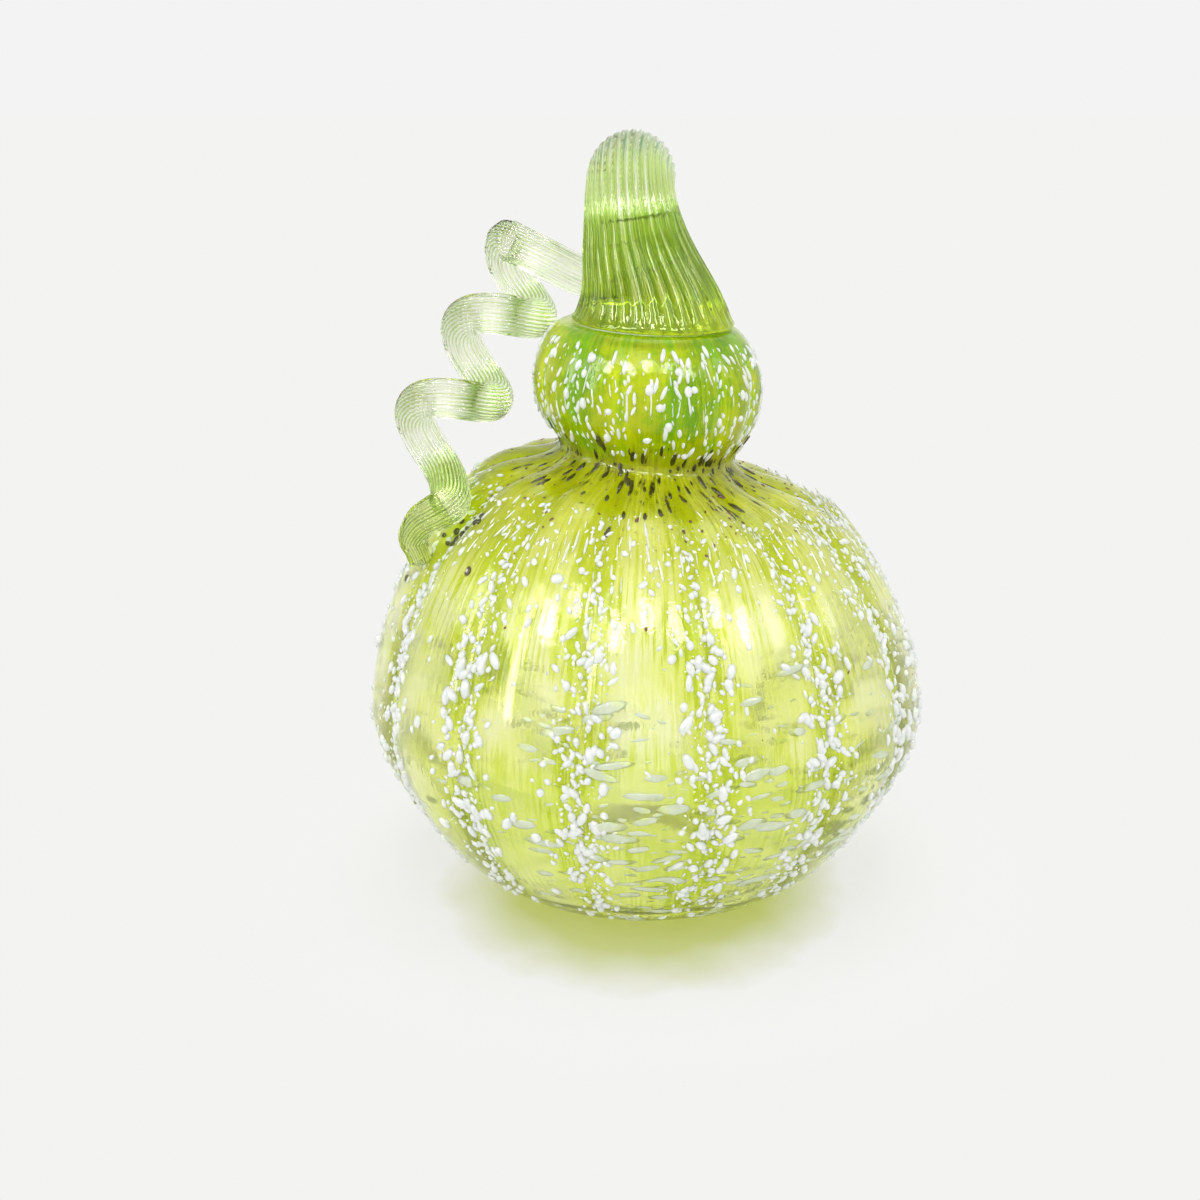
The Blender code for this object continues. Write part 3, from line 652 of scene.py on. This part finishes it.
def make_bulb(material):
    turn = 2 * np.pi * np.arange(BULB_SIDES) / BULB_SIDES
    rings, crease, flow = [], [], []

    def note(ring, length=0.0, weight=0.0):
        rings.append(ring)
        crease.append((1 - lobe(turn)) * weight)
        around = np.sin(turn) * FLOW_RADIUS, np.cos(turn) * FLOW_RADIUS
        flow.append(np.stack([*around, np.full_like(turn, length)], axis=-1))

    def flat(radius, height):
        return leaning(radius * np.sin(turn), -radius * np.cos(turn), np.full_like(turn, height))

    note(flat(PONTIL_MIDDLE, PONTIL_DEPTH))
    note(flat(DISH_RADIUS, DISH_DEPTH))
    note(flat(DISH_RADIUS + DISH_EDGE[0], DISH_DEPTH * DISH_EDGE[1]))
    note(flat(PONTIL_RADIUS - PONTIL_EDGE[0], PONTIL_EDGE[1]))
    note(flat(PONTIL_RADIUS, 0.0))
    for length in np.linspace(0.0, SKIN.top, OUTER_RINGS):
        note(SKIN.place(turn, length), length, 1.0)
    note(flat(MOUTH_RADIUS, NECK[1]), SKIN.top)
    note(flat(MOUTH_RADIUS, NECK[1] - WALL), SKIN.top)
    for length in np.linspace(SKIN.top - WALL / 2, SKIN.length_at(FLOOR_WALL), INNER_RINGS):
        note(SKIN.place(turn, length, -WALL, INNER_LOBE_SHARE), length, INNER_CREASE)
    for share in (1.0, 0.66, 0.33):
        note(flat(FOOT[0] * share, FLOOR_WALL))
    mesh = rings_mesh("bulb_glass", np.array(rings))
    mark_rings(mesh, "crease", crease)
    mark_rings(mesh, "girth", [ring[:, 2] for ring in rings])
    mark_flow(mesh, flow)
    mesh.materials.append(material)
    turn_out(mesh)
    return new_object("bulb_glass", mesh)


# Stem and tendril


def stem_route():
    """Points and directions from the foot on the neck over the crook to the drawn end."""
    square = Vector((LEAN_SLOPES[-1], 0.0, 1.0)).normalized()
    up = Vector((-CROOK_TILT, 0.0, 1.0)).normalized()
    back = Vector((math.sin(CROOK_HEADING), math.cos(CROOK_HEADING), 0.0))
    back = (back - up * up.dot(back)).normalized()
    seat = leaned(SEAT_OFFSET, 0.0, NECK[1]) + square * SEAT_GAP
    top = seat + Vector((-STEM_SWAY, 0.0, STEM_HEIGHT))
    ease = STEM_HEIGHT * STEM_EASE
    rise = bezier(seat, seat + square * ease, top - up * ease, top, STEM_STEPS)
    points = [Vector(point) for point in rise]
    directions = [square.lerp(up, i / STEM_STEPS).normalized() for i in range(STEM_STEPS)]
    for i in range(CROOK_STEPS + 1):
        turned = CROOK_ANGLE * i / CROOK_STEPS
        points.append(top + CROOK_RADIUS * ((1 - math.cos(turned)) * back + math.sin(turned) * up))
        directions.append(math.cos(turned) * up + math.sin(turned) * back)
    away = directions[-1]
    for i in range(DRAWN_STEPS):
        points.append(points[-1] + away * DRAWN_LENGTH / DRAWN_STEPS)
        directions.append(away)
    return points, directions


def catmull_rom(points, per_span):
    """A smooth way through the points."""
    ends = [2 * points[0] - points[1], *points, 2 * points[-1] - points[-2]]
    result = []
    for a, b, c, d in zip(ends, ends[1:], ends[2:], ends[3:]):
        for i in range(per_span):
            t = i / per_span
            square = (2 * a - 5 * b + 4 * c - d) * t**2
            cube = (3 * b - a - 3 * c + d) * t**3
            result.append((2 * b + (c - a) * t + square + cube) / 2)
    return result + [points[-1]]


def tip_frame():
    """Where the tendril's tip rests on the shoulder, and the direction in which it leaves the glass."""
    length = SKIN.length_at(TIP_HEIGHT)
    tip = Vector(SKIN.place(TIP_TURN, length, SEAT_GAP))
    square = (Vector(SKIN.place(TIP_TURN, length, 2 * SEAT_GAP)) - tip).normalized()
    return tip, (square + Vector((0.0, 0.0, TIP_UPRIGHT))).normalized()


def coil_route(foot):
    """The corkscrew's loops, on an axis that passes beside the upper bulb and ends over the tip."""
    reach = UPPER[0] + COIL_CLEARANCE + TENDRIL_RADIUS + COIL_RADIUS
    beside = leaned(reach * math.sin(COIL_HEADING), -reach * math.cos(COIL_HEADING), UPPER[1] - COIL_DROP)
    axis = (foot - beside).normalized()
    face = LOOP_FACE.normalized()
    right = (Vector((1.0, 0.0, 0.0)) - face * face.x).normalized()
    front = face.cross(right)
    coil = []
    for i in range(round((COIL_END - COIL_START) * LOOP_POINTS) + 1):
        turns = COIL_START + i / LOOP_POINTS
        centre = foot + axis * COIL_PITCH * (turns - COIL_END)
        angle = 2 * math.pi * turns
        coil.append(centre + COIL_RADIUS * (math.cos(angle) * right + math.sin(angle) * front))
    return coil


def tendril_route(start, away):
    """From the stem's drawn end, behind the stem and down the loops to the tip."""
    tip, out = tip_frame()
    coil = coil_route(tip + COIL_FOOT)
    begin = start + away * SEAT_GAP
    lead = [begin, begin + away * DRAWN_RADIUS, begin + away * 2 * DRAWN_RADIUS]
    lead += [begin + Vector(offset) for offset in BEHIND_STEM]
    tail = [tip + Vector(offset) for offset in LAST_TURN]
    tail += [tip + out * 2 * TIP_RADIUS, tip + out * TIP_RADIUS, tip]
    last = catmull_rom(coil[-2:] + tail, 4)[5:-4]
    return catmull_rom(lead + coil[:1], 4)[:-1] + coil + last + [tip]


def run_along(points):
    """The length run up to each point."""
    steps = np.linalg.norm(np.diff(np.array(points), axis=0), axis=1)
    return np.concatenate([[0.0], np.cumsum(steps)])


def even(points, step):
    """The route again, with points at even steps along it."""
    fine = np.array(catmull_rom(points, 6))
    run = run_along(fine)
    places = np.linspace(0.0, run[-1], round(run[-1] / step) + 1)
    return [Vector([np.interp(s, run, fine[:, k]) for k in range(3)]) for s in places]


def stem_and_tendril_route():
    """The whole route, its directions, and the length of the stem's part of it."""
    points, directions = stem_route()
    stem_run = sum((b - a).length for a, b in zip(points, points[1:]))
    route = even(tendril_route(points[-1], directions[-1]), TENDRIL_STEP)
    tangents = [directions[-1]] + [(c - a).normalized() for a, c in zip(route, route[2:])]
    tangents.append(-tip_frame()[1])
    return points + route, directions + tangents, stem_run


def stem_radii(run, stem_run):
    """Flared at the foot, drawn thin over the crook, tapered to the tip."""
    crown = stem_run - DRAWN_LENGTH - CROOK_RADIUS * CROOK_ANGLE * (1 - CROWN)
    stops = (crown, stem_run, stem_run + TAPER_LENGTH, run[-1] - TAPER_LENGTH, run[-1])
    radii = (STEM_RADIUS, DRAWN_RADIUS, TENDRIL_RADIUS, COIL_END_RADIUS, TIP_RADIUS)
    flare = np.clip(1 - run / FLARE_LENGTH, 0.0, 1.0) ** FLARE_POWER
    return smooth_steps(run, stops, radii) + (STEM_FOOT_RADIUS - STEM_RADIUS) * flare


def rounded_foot(edge, up):
    """The flat underside of the foot and its rounded edge."""
    middle = edge.mean(axis=0)
    rings = [middle + (edge - middle) * share for share in FOOT_DISC]
    rings += [middle + (edge - middle) * share + up * FOOT_EDGE * depth for depth, share in FOOT_ROUND]
    return rings + [edge + up * FOOT_EDGE]


def make_stem(material):
    points, directions, stem_run = stem_and_tendril_route()
    run = run_along(points)
    radii = stem_radii(run, stem_run)
    rib_stops = (0.0, RIB_FADE, stem_run, stem_run + RIB_CHANGE)
    ribs = smooth_steps(run, rib_stops, (0.0, STEM_RIB, STEM_RIB, TENDRIL_RIB))
    turn = 2 * np.pi * np.arange(RIB_SIDES) / RIB_SIDES
    scallop = 1 - np.abs(np.cos(RIBS * turn / 2)) ** RIB_SHARPNESS
    before = directions[0]
    side = Vector((0.0, -1.0, 0.0)).cross(before).normalized()
    rings, flow, bends = [], [], []
    for point, direction, radius, rib, along in zip(points, directions, radii, ribs, run):
        side = before.rotation_difference(direction) @ side
        before = direction
        other = direction.cross(side)
        reach = (radius - rib * scallop)[:, None]
        spokes = np.cos(turn)[:, None] * np.array(side) + np.sin(turn)[:, None] * np.array(other)
        rings.append(np.array(point) + reach * spokes)
        around = np.cos(turn) * STEM_FLOW[0], np.sin(turn) * STEM_FLOW[0]
        flow.append(np.stack([*around, np.full_like(turn, along * STEM_FLOW[1])], axis=-1))
        ahead = (abs(direction.y) - BEND_FROM) / BEND_SPAN if along > stem_run else 0.0
        bends.append(np.full(RIB_SIDES, min(max(ahead, 0.0), 1.0)))
    rings = rounded_foot(rings[0], np.array(directions[0])) + rings[3:]
    flow = flow[:4] + [flow[3]] + flow[3:]
    bends = bends[:4] + [bends[3]] + bends[3:]
    run = np.concatenate([run[:4], run[3:4], run[3:]])
    mesh = rings_mesh("stem_glass", np.array(rings))
    mark_rings(mesh, "run", [np.full(RIB_SIDES, share) for share in run / run[-1]], (0.0, 1.0))
    mark_rings(mesh, "rib", [scallop] * len(rings))
    mark_rings(mesh, "bend", bends)
    mark_flow(mesh, flow)
    mesh.materials.append(material)
    turn_out(mesh)
    return new_object("stem_glass", mesh)


# Fused chips


def chip_inputs(tree):
    """The tree's named inputs, and the values that they have if a piece names none."""
    sizes = {"Length": 0.0016, "Width": 0.0011, "Rise": 0.0008}
    sizes |= {"Smallest": 0.5, "Largest": 1.2, "Wander": 0.3}
    sizes |= {"Spacing": 0.0009, "Density": 400000.0, "Lumps": 0.00012}
    inputs = [("Skin", "Geometry", None)]
    inputs += [(label, "Float", value) for label, value in sizes.items()]
    inputs += [("Seed", "Int", 1), ("Finish", "Material", None)]
    for label, kind, value in inputs:
        item = tree.interface.new_socket(name=label, in_out="INPUT", socket_type=f"NodeSocket{kind}")
        if value is not None:
            item.default_value = value
    tree.interface.new_socket(name="Chips", in_out="OUTPUT", socket_type="NodeSocketGeometry")


def chance(n, given, low, high, step, kind="FLOAT"):
    """A value by chance for each chip, from the tree's own seed."""
    draw = n.add("FunctionNodeRandomValue", data_type=kind)
    for value, socket in zip((low, high), [s for s in draw.inputs if s.enabled]):
        n.put(value, socket)
    n.put(n.plus(given["Seed"], float(step)), draw.inputs["Seed"])
    return next(s for s in draw.outputs if s.enabled)


def named(n, label, kind="FLOAT"):
    return n.add("GeometryNodeInputNamedAttribute", {"Name": label}, data_type=kind).outputs["Attribute"]


def chip_sizes(n, given):
    luck = n.math("POWER", chance(n, given, 0.0, 1.0, 11), 1.8)
    size = n.plus(given["Smallest"], n.times(n.minus(given["Largest"], given["Smallest"]), luck))
    size = n.times(named(n, "grain"), size)
    lengths = {0: given["Width"], 1: given["Length"], 2: given["Rise"]}
    stretch = n.add("ShaderNodeCombineXYZ", lengths).outputs[0]
    uneven = chance(n, given, (0.8, 0.75, 0.85), (1.15, 1.45, 1.15), 23, "FLOAT_VECTOR")
    return n.vector("SCALE", n.vector("MULTIPLY", stretch, uneven), size)


def chip_turns(n, given):
    """Each chip lies along the way that the glass was drawn, give or take its wander."""
    directions = {0: named(n, "out", "FLOAT_VECTOR"), 1: named(n, "along", "FLOAT_VECTOR")}
    facing = n.add("FunctionNodeAxesToRotation", directions, primary_axis="Z", secondary_axis="Y").outputs[0]
    swing = n.times(given["Wander"], chance(n, given, -1.0, 1.0, 37))
    swing = n.add("FunctionNodeAxisAngleToRotation", {"Axis": (0.0, 0.0, 1.0), "Angle": swing}).outputs[0]
    return n.add("FunctionNodeRotateRotation", {0: facing, 1: swing}, rotation_space="LOCAL").outputs[0]


def lumpy(n, given, chips):
    inputs = {"Vector": n.add("GeometryNodeInputPosition").outputs[0], "Scale": 1100.0, "Detail": 1.0}
    rough = n.add("ShaderNodeTexNoise", inputs).outputs["Color"]
    rough = n.vector("SCALE", n.vector("SUBTRACT", rough, (0.5, 0.5, 0.5)), given["Lumps"])
    return n.add("GeometryNodeSetPosition", {"Geometry": chips, "Offset": rough}).outputs[0]


def chip_tree(name, scattered):
    """Geometry Nodes: pebbles of glass on points, or scattered over a band of skin."""
    tree = bpy.data.node_groups.new(name, "GeometryNodeTree")
    chip_inputs(tree)
    n = Nodes(tree)
    given = n.add("NodeGroupInput").outputs
    if scattered:
        inputs = {"Mesh": given["Skin"], "Distance Min": given["Spacing"], "Density Max": given["Density"]}
        inputs |= {"Density Factor": named(n, "thick"), "Seed": given["Seed"]}
        strewn = n.add("GeometryNodeDistributePointsOnFaces", inputs, distribute_method="POISSON")
        points = strewn.outputs["Points"]
    else:
        points = n.add("GeometryNodeMeshToPoints", {"Mesh": given["Skin"]}).outputs[0]
    pebble = n.add("GeometryNodeMeshUVSphere", {"Radius": 0.5, "Segments": 8, "Rings": 5}).outputs["Mesh"]
    pebble = n.add("GeometryNodeSetShadeSmooth", {"Geometry": pebble}).outputs[0]
    inputs = {"Points": points, "Instance": pebble}
    inputs |= {"Rotation": chip_turns(n, given), "Scale": chip_sizes(n, given)}
    chips = n.add("GeometryNodeInstanceOnPoints", inputs).outputs[0]
    chips = n.add("GeometryNodeRealizeInstances", {0: chips}).outputs[0]
    chips = lumpy(n, given, chips)
    chips = n.add("GeometryNodeSetMaterial", {"Geometry": chips, "Material": given["Finish"]}).outputs[0]
    n.put(chips, n.add("NodeGroupOutput").inputs[0])
    return tree


def grown(name, mesh, tree, material, **sizes):
    """The chips that a tree grows on a mesh, as a plain mesh of their own."""
    obj = new_object(name, mesh)
    modifier = obj.modifiers.new("chips", "NODES")
    modifier.node_group = tree
    names = {item.name: item.identifier for item in tree.interface.items_tree if item.item_type == "SOCKET"}
    for label, value in sizes.items():
        modifier[names[label]] = value
    modifier[names["Finish"]] = material
    done = obj.evaluated_get(bpy.context.evaluated_depsgraph_get())
    result = bpy.data.meshes.new_from_object(done)
    obj.modifiers.clear()
    obj.data = result
    result.name = name
    if not result.materials:
        result.materials.append(material)
    return obj


def skin_mesh(name, turn, length, faces, sink):
    """Points just under the skin, with the directions out of it and up along it."""
    here, out, along = SKIN.frame(turn, length)
    mesh = bpy.data.meshes.new(name)
    mesh.from_pydata((here - out * sink).reshape(-1, 3), [], faces)
    mark(mesh, "out", out, "FLOAT_VECTOR")
    mark(mesh, "along", along, "FLOAT_VECTOR")
    return mesh


def band_mesh(turns, band, thick, grain=None, sink=BAND_SINK):
    """A band of skin over the given turns, with how thickly chips lie there and how big they are."""
    low, high, rows = band
    lengths = np.linspace(SKIN.length_at(low), SKIN.length_at(high), rows)
    turn, length = np.meshgrid(turns, lengths)
    index = np.arange(turn.size).reshape(turn.shape)
    corners = [index[:-1, :-1], index[:-1, 1:], index[1:, 1:], index[1:, :-1]]
    quads = np.stack(corners, axis=-1).reshape(-1, 4)
    mesh = skin_mesh("band", turn, length, quads.tolist(), sink)
    mark(mesh, "thick", thick(turn, length))
    mark(mesh, "grain", grain(length) if grain else np.ones_like(turn))
    return mesh


def ring_band(band, thick, columns=BAND_COLUMNS, sink=BAND_SINK):
    """A band of skin all the way round."""
    return band_mesh(np.linspace(-np.pi, np.pi, columns), band, thick, sink=sink)


def spots_mesh(places, sink=BAND_SINK):
    """One point for each chip: degrees round from the front, and height on the outline."""
    turn = np.radians([place[0] for place in places])
    length = np.array([SKIN.length_at(place[1]) for place in places])
    mesh = skin_mesh("spots", turn, length, [], sink)
    mark(mesh, "grain", np.ones(len(places)))
    return mesh


def belly_band(first, last):
    """The lower bulb's skin from one crease to another, both counted from the front. Beads lie thick in the
    creases, thin out over the lobes, and stray most on the right and over the crown."""
    step = 2 * np.pi / LOBES

    def thick(turn, length):
        height = SKIN.height_at(length)
        off = np.abs((turn / step) % 1.0 - 0.5) * step * np.interp(length, SKIN.length, SKIN.radius)
        core = np.exp(-((off / CREASE_SPREAD) ** 2)) * (1 - 0.5 * np.clip(-3 * np.cos(turn), 0.0, 1.0))
        crown = np.clip((height - STRAY_CROWN[0]) / STRAY_CROWN[1], 0.0, 1.0)
        stray = 0.03 + 0.34 * near(turn, *STRAY_TURN) + 0.30 * crown * np.clip(0.6 + np.cos(turn), 0.3, 1.0)
        fade = np.clip((height - FOOT_FADE[0]) / FOOT_FADE[1], 0.25, 1.0)
        return np.maximum(core, stray) * fade

    def grain(length):
        return np.interp(SKIN.height_at(length), GRAIN_HEIGHTS, GRAINS)

    turns = step * np.linspace(first - 1, last, (last - first + 1) * LOBE_SIDES + 1)
    return band_mesh(turns, CREASE_BAND, thick, grain)


def crease_beads(scatter, white):
    """White beads fused in the creases, a few creases to a piece."""
    return [
        grown(
            f"crease_beads_{i}", belly_band(first, last), scatter, white,
            Length=0.0017, Width=0.0011, Rise=0.0010, Smallest=0.35, Largest=2.00, Wander=1.1,
            Spacing=0.00098, Density=1000000.0, Lumps=0.00034, Seed=2 + i,
        )
        for i, (first, last) in enumerate(CREASE_RUNS, start=1)
    ]


def smears(scatter):
    """Smoky smears drawn round the front of the belly, thickest on the lobes."""
    smoky = frit_glass("smoky_frit", (0.70, 0.76, 0.60), (0.60, 0.68, 0.46), 500.0, 0.14, 0.14)

    def thick(turn, length):
        front = near(turn, *SMEAR_TURN, least=0.02, top=1.4)
        return front * near(SKIN.height_at(length), *SMEAR_HEIGHT, top=1.3) * (0.25 + 0.75 * lobe(turn))

    return grown(
        "smears", ring_band(SMEAR_BAND, thick, BULB_SIDES + 1), scatter, smoky,
        Length=0.0013, Width=0.0046, Rise=0.00035, Smallest=0.35, Largest=1.70, Wander=0.30,
        Spacing=0.0025, Density=300000.0, Lumps=0.0006, Seed=21,
    )


def upper_beads(scatter, white):
    def thick(turn, length):
        return 0.35 + 0.65 * (1 - lobe(turn))

    return grown(
        "upper_beads", ring_band(UPPER_BAND, thick, sink=0.0), scatter, white,
        Length=0.0020, Width=0.0008, Rise=0.0008, Smallest=0.30, Largest=1.40, Wander=0.5,
        Spacing=0.00098, Density=600000.0, Lumps=0.0003, Seed=5,
    )


def drawn_streaks(scatter, white):
    """Threads of white pulled out along the crown and the upper bulb."""

    def thick(turn, length):
        height = SKIN.height_at(length)
        return np.maximum(near(height, *CROWN_STREAKS), 0.4 * near(height, *UPPER_STREAKS))

    return grown(
        "drawn_streaks", ring_band(STREAK_BAND, thick), scatter, white,
        Length=0.0046, Width=0.00045, Rise=0.0005, Smallest=0.35, Largest=1.20, Wander=0.22,
        Spacing=0.0013, Density=420000.0, Lumps=0.0003, Seed=15,
    )


def brown_specks(scatter, brown):
    def thick(turn, length):
        return near(SKIN.height_at(length), *SPECK_HEIGHT, least=0.02)

    return grown(
        "brown_specks", ring_band(SPECK_BAND, thick), scatter, brown,
        Length=0.0009, Width=0.0006, Rise=0.0005, Smallest=0.5, Largest=1.2, Wander=1.2,
        Spacing=0.0018, Density=200000.0, Lumps=0.0001, Seed=16,
    )


def waist_chips(scatter, dark):
    """Dark chips pulled into the waist, thickest in front."""

    def thick(turn, length):
        front = 0.3 + 0.7 * np.clip(0.4 + np.cos(turn), 0.0, 1.0)
        return front * near(SKIN.height_at(length), *WAIST_HEIGHT) ** 1.3

    return grown(
        "waist_chips_glass", ring_band(WAIST_BAND, thick, sink=WAIST_SINK), scatter, dark,
        Length=0.0036, Width=0.0009, Rise=0.0006, Smallest=0.4, Largest=1.4, Wander=0.18,
        Spacing=0.0008, Density=1000000.0, Lumps=0.0003, Seed=8,
    )


def upper_drops(spots, white):
    places = list(WHITE_ON_UPPER)
    for i in range(UPPER_BEADS):
        places.append((GOLDEN_ANGLE * i, UPPER_BEADS_FROM + UPPER_BEADS_SPAN * (i + 0.5) / UPPER_BEADS))
    return grown(
        "upper_drops", spots_mesh(places), spots, white,
        Length=0.0021, Width=0.0018, Rise=0.0015, Smallest=0.9, Largest=1.1, Wander=0.2,
        Lumps=0.0001, Seed=6,
    )


def tip_seeds(spots, dark):
    return grown(
        "tip_seeds_glass", spots_mesh(TIP_SEEDS, sink=0.0), spots, dark,
        Length=0.0014, Width=0.0020, Rise=0.0011, Smallest=0.8, Largest=1.1, Wander=0.8,
        Lumps=0.0003, Seed=7,
    )


def waist_spots(spots, dark):
    return grown(
        "waist_spots", spots_mesh(DARK_AT_WAIST), spots, dark,
        Length=0.0026, Width=0.0010, Rise=0.0007, Smallest=0.8, Largest=1.1, Wander=0.2,
        Lumps=0.0002, Seed=9,
    )


def brown_flecks(spots, brown):
    return grown(
        "brown_flecks", spots_mesh(BROWN_AT_WAIST), spots, brown,
        Length=0.0016, Width=0.0010, Rise=0.0007, Smallest=0.8, Largest=1.2, Wander=0.6,
        Lumps=0.0002, Seed=10,
    )


def ringed_chip(spots):
    centre = SKIN.place(math.radians(RINGED_CHIP[0]), SKIN.length_at(RINGED_CHIP[1]), RING_LIFT)
    return grown(
        "ringed_chip_glass", spots_mesh((RINGED_CHIP,), sink=0.0), spots, ringed_glass(centre),
        Length=0.0019, Width=0.0018, Rise=0.0010, Smallest=1.0, Largest=1.0, Lumps=0.0002, Seed=11,
    )


def pill(spots, white):
    return grown(
        "pill_glass", spots_mesh((PILL,), sink=0.0), spots, white,
        Length=0.0020, Width=0.0034, Rise=0.0016, Smallest=1.0, Largest=1.0, Wander=0.4,
        Lumps=0.0002, Seed=12,
    )


def proud_bead(spots, white):
    return grown(
        "proud_bead_glass", spots_mesh((PROUD_BEAD,), sink=0.0), spots, white,
        Length=0.0030, Width=0.0026, Rise=0.0028, Smallest=1.0, Largest=1.0, Lumps=0.0002, Seed=13,
    )


def make_chips():
    scatter = chip_tree("scattered_chips", True)
    spots = chip_tree("placed_chips", False)
    white = frit_glass("white_frit", (0.90, 0.91, 0.91), (0.78, 0.83, 0.79), 700.0, 0.12, 0.12)
    dark = frit_glass("dark_frit", (0.025, 0.03, 0.006), (0.10, 0.09, 0.012), 900.0, 0.18, 0.10)
    brown = frit_glass("brown_frit", (0.30, 0.09, 0.015), (0.14, 0.05, 0.012), 900.0, 0.35, 0.12)
    return [
        *crease_beads(scatter, white),
        smears(scatter),
        upper_beads(scatter, white),
        drawn_streaks(scatter, white),
        brown_specks(scatter, brown),
        upper_drops(spots, white),
        tip_seeds(spots, dark),
        waist_chips(scatter, dark),
        waist_spots(spots, dark),
        brown_flecks(spots, brown),
        ringed_chip(spots),
        pill(spots, white),
        proud_bead(spots, white),
    ]


# Studio


def rays_seen(n):
    """The light path, and a share that is 1 for what the eye sees straight, mirrored or through glass."""
    rays = n.add("ShaderNodeLightPath").outputs
    bent = n.math("MAXIMUM", rays["Is Glossy Ray"], rays["Is Transmission Ray"])
    return rays, n.math("MAXIMUM", rays["Is Camera Ray"], bent)


def studio_white():
    """A white floor that keeps the shadow near the gourd, with a painted lime shadow in its glow under the
    bulb, tinted as by the light that falls through the glass.
    """
    material, n, shader, output = new_material("studio_white")
    shader.inputs["Base Color"].default_value = FLOOR_WHITE
    shader.inputs["Roughness"].default_value = 0.6
    rays, seen = rays_seen(n)
    through = rays["Is Transmission Ray"]
    place = n.place()
    share = n.times(seen, n.span(n.vector("LENGTH", place), *CONTACT_SHADE))
    share = n.math("MAXIMUM", share, through)
    # Painted shadow: near the bulb the glow turns to a darker lime, wider where it is seen through the glass
    ahead = n.vector("LENGTH", n.vector("MULTIPLY", n.vector("ADD", place, PAINTED_SHADOW_AHEAD), PAINTED_SHADOW_OVAL))
    wavy = n.plus(ahead, n.times(n.noise(place, 60.0), PAINTED_SHADOW_WAVE))
    wavy = n.minus(wavy, n.times(through, PAINTED_SHADOW_WIDER))
    painted_shadow_colour = n.blend(through, PAINTED_LIME_SHADOW, PAINTED_LIME_SHADOW_THROUGH_GLASS)
    glow_with_painted_shadow = n.blend(n.span(wavy, *PAINTED_SHADOW_EDGE), painted_shadow_colour, (PALE, PALE, PALE * WARMTH))
    glow = n.add("ShaderNodeEmission", {"Color": glow_with_painted_shadow}).outputs[0]
    mixed = n.add("ShaderNodeMixShader", {0: share, 1: shader.outputs[0], 2: glow}).outputs[0]
    n.put(mixed, output.inputs["Surface"])
    return material


def lay_floor():
    bpy.ops.mesh.primitive_plane_add(size=FLOOR_SIZE, location=(0.0, 0.0, FLOOR_DROP))
    floor = bpy.context.object
    floor.name = "studio_floor"
    floor.data.materials.append(studio_white())


def hang_backdrop():
    world = bpy.data.worlds.new("studio")
    world.use_nodes = True
    bpy.context.scene.world = world
    n = Nodes(world.node_tree)
    rays, seen = rays_seen(n)
    strength = n.math("MAXIMUM", n.span(seen, 0.0, 1.0, ROOM_LIGHT, PALE), rays["Is Transmission Ray"])
    background = world.node_tree.nodes["Background"]
    background.inputs["Color"].default_value = (1.0, 1.0, 1.0, 1.0)
    n.put(strength, background.inputs["Strength"])


def hang_lamps():
    """Soft lamps, and window panes that show only in the glass."""
    for name, place, size, power in LAMPS:
        light = bpy.data.lights.new(name, "AREA")
        light.size = size
        if name == "pane_4":
            light.shape = "RECTANGLE"
            light.size_y = TALL_PANE
        light.energy = power
        lamp = bpy.data.objects.new(name, light)
        lamp.visible_diffuse = not name.startswith("pane")
        lamp.visible_glossy = name != "low"
        lamp.location = place
        lamp.rotation_euler = (LAMP_AIM - Vector(place)).to_track_quat("-Z", "Y").to_euler()
        bpy.context.scene.collection.objects.link(lamp)


def set_camera():
    camera = bpy.data.cameras.new("view")
    camera.sensor_width = CAMERA_SENSOR
    camera.lens = CAMERA_LENS
    eye = bpy.data.objects.new("view", camera)
    eye.location = CAMERA_PLACE
    eye.rotation_euler = (CAMERA_TILT, 0.0, CAMERA_TURN)
    bpy.context.scene.collection.objects.link(eye)
    bpy.context.scene.camera = eye
    bpy.context.scene.view_settings.view_transform = "Standard"


def main():
    lay_floor()
    hang_backdrop()
    hang_lamps()
    set_camera()
    for obj in (*make_chips(), make_bulb(lime_glass()), make_stem(green_glass())):
        name = obj.name
        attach(obj, "root")
        if name in REPLACED:
            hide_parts(*REPLACED[name])


main()
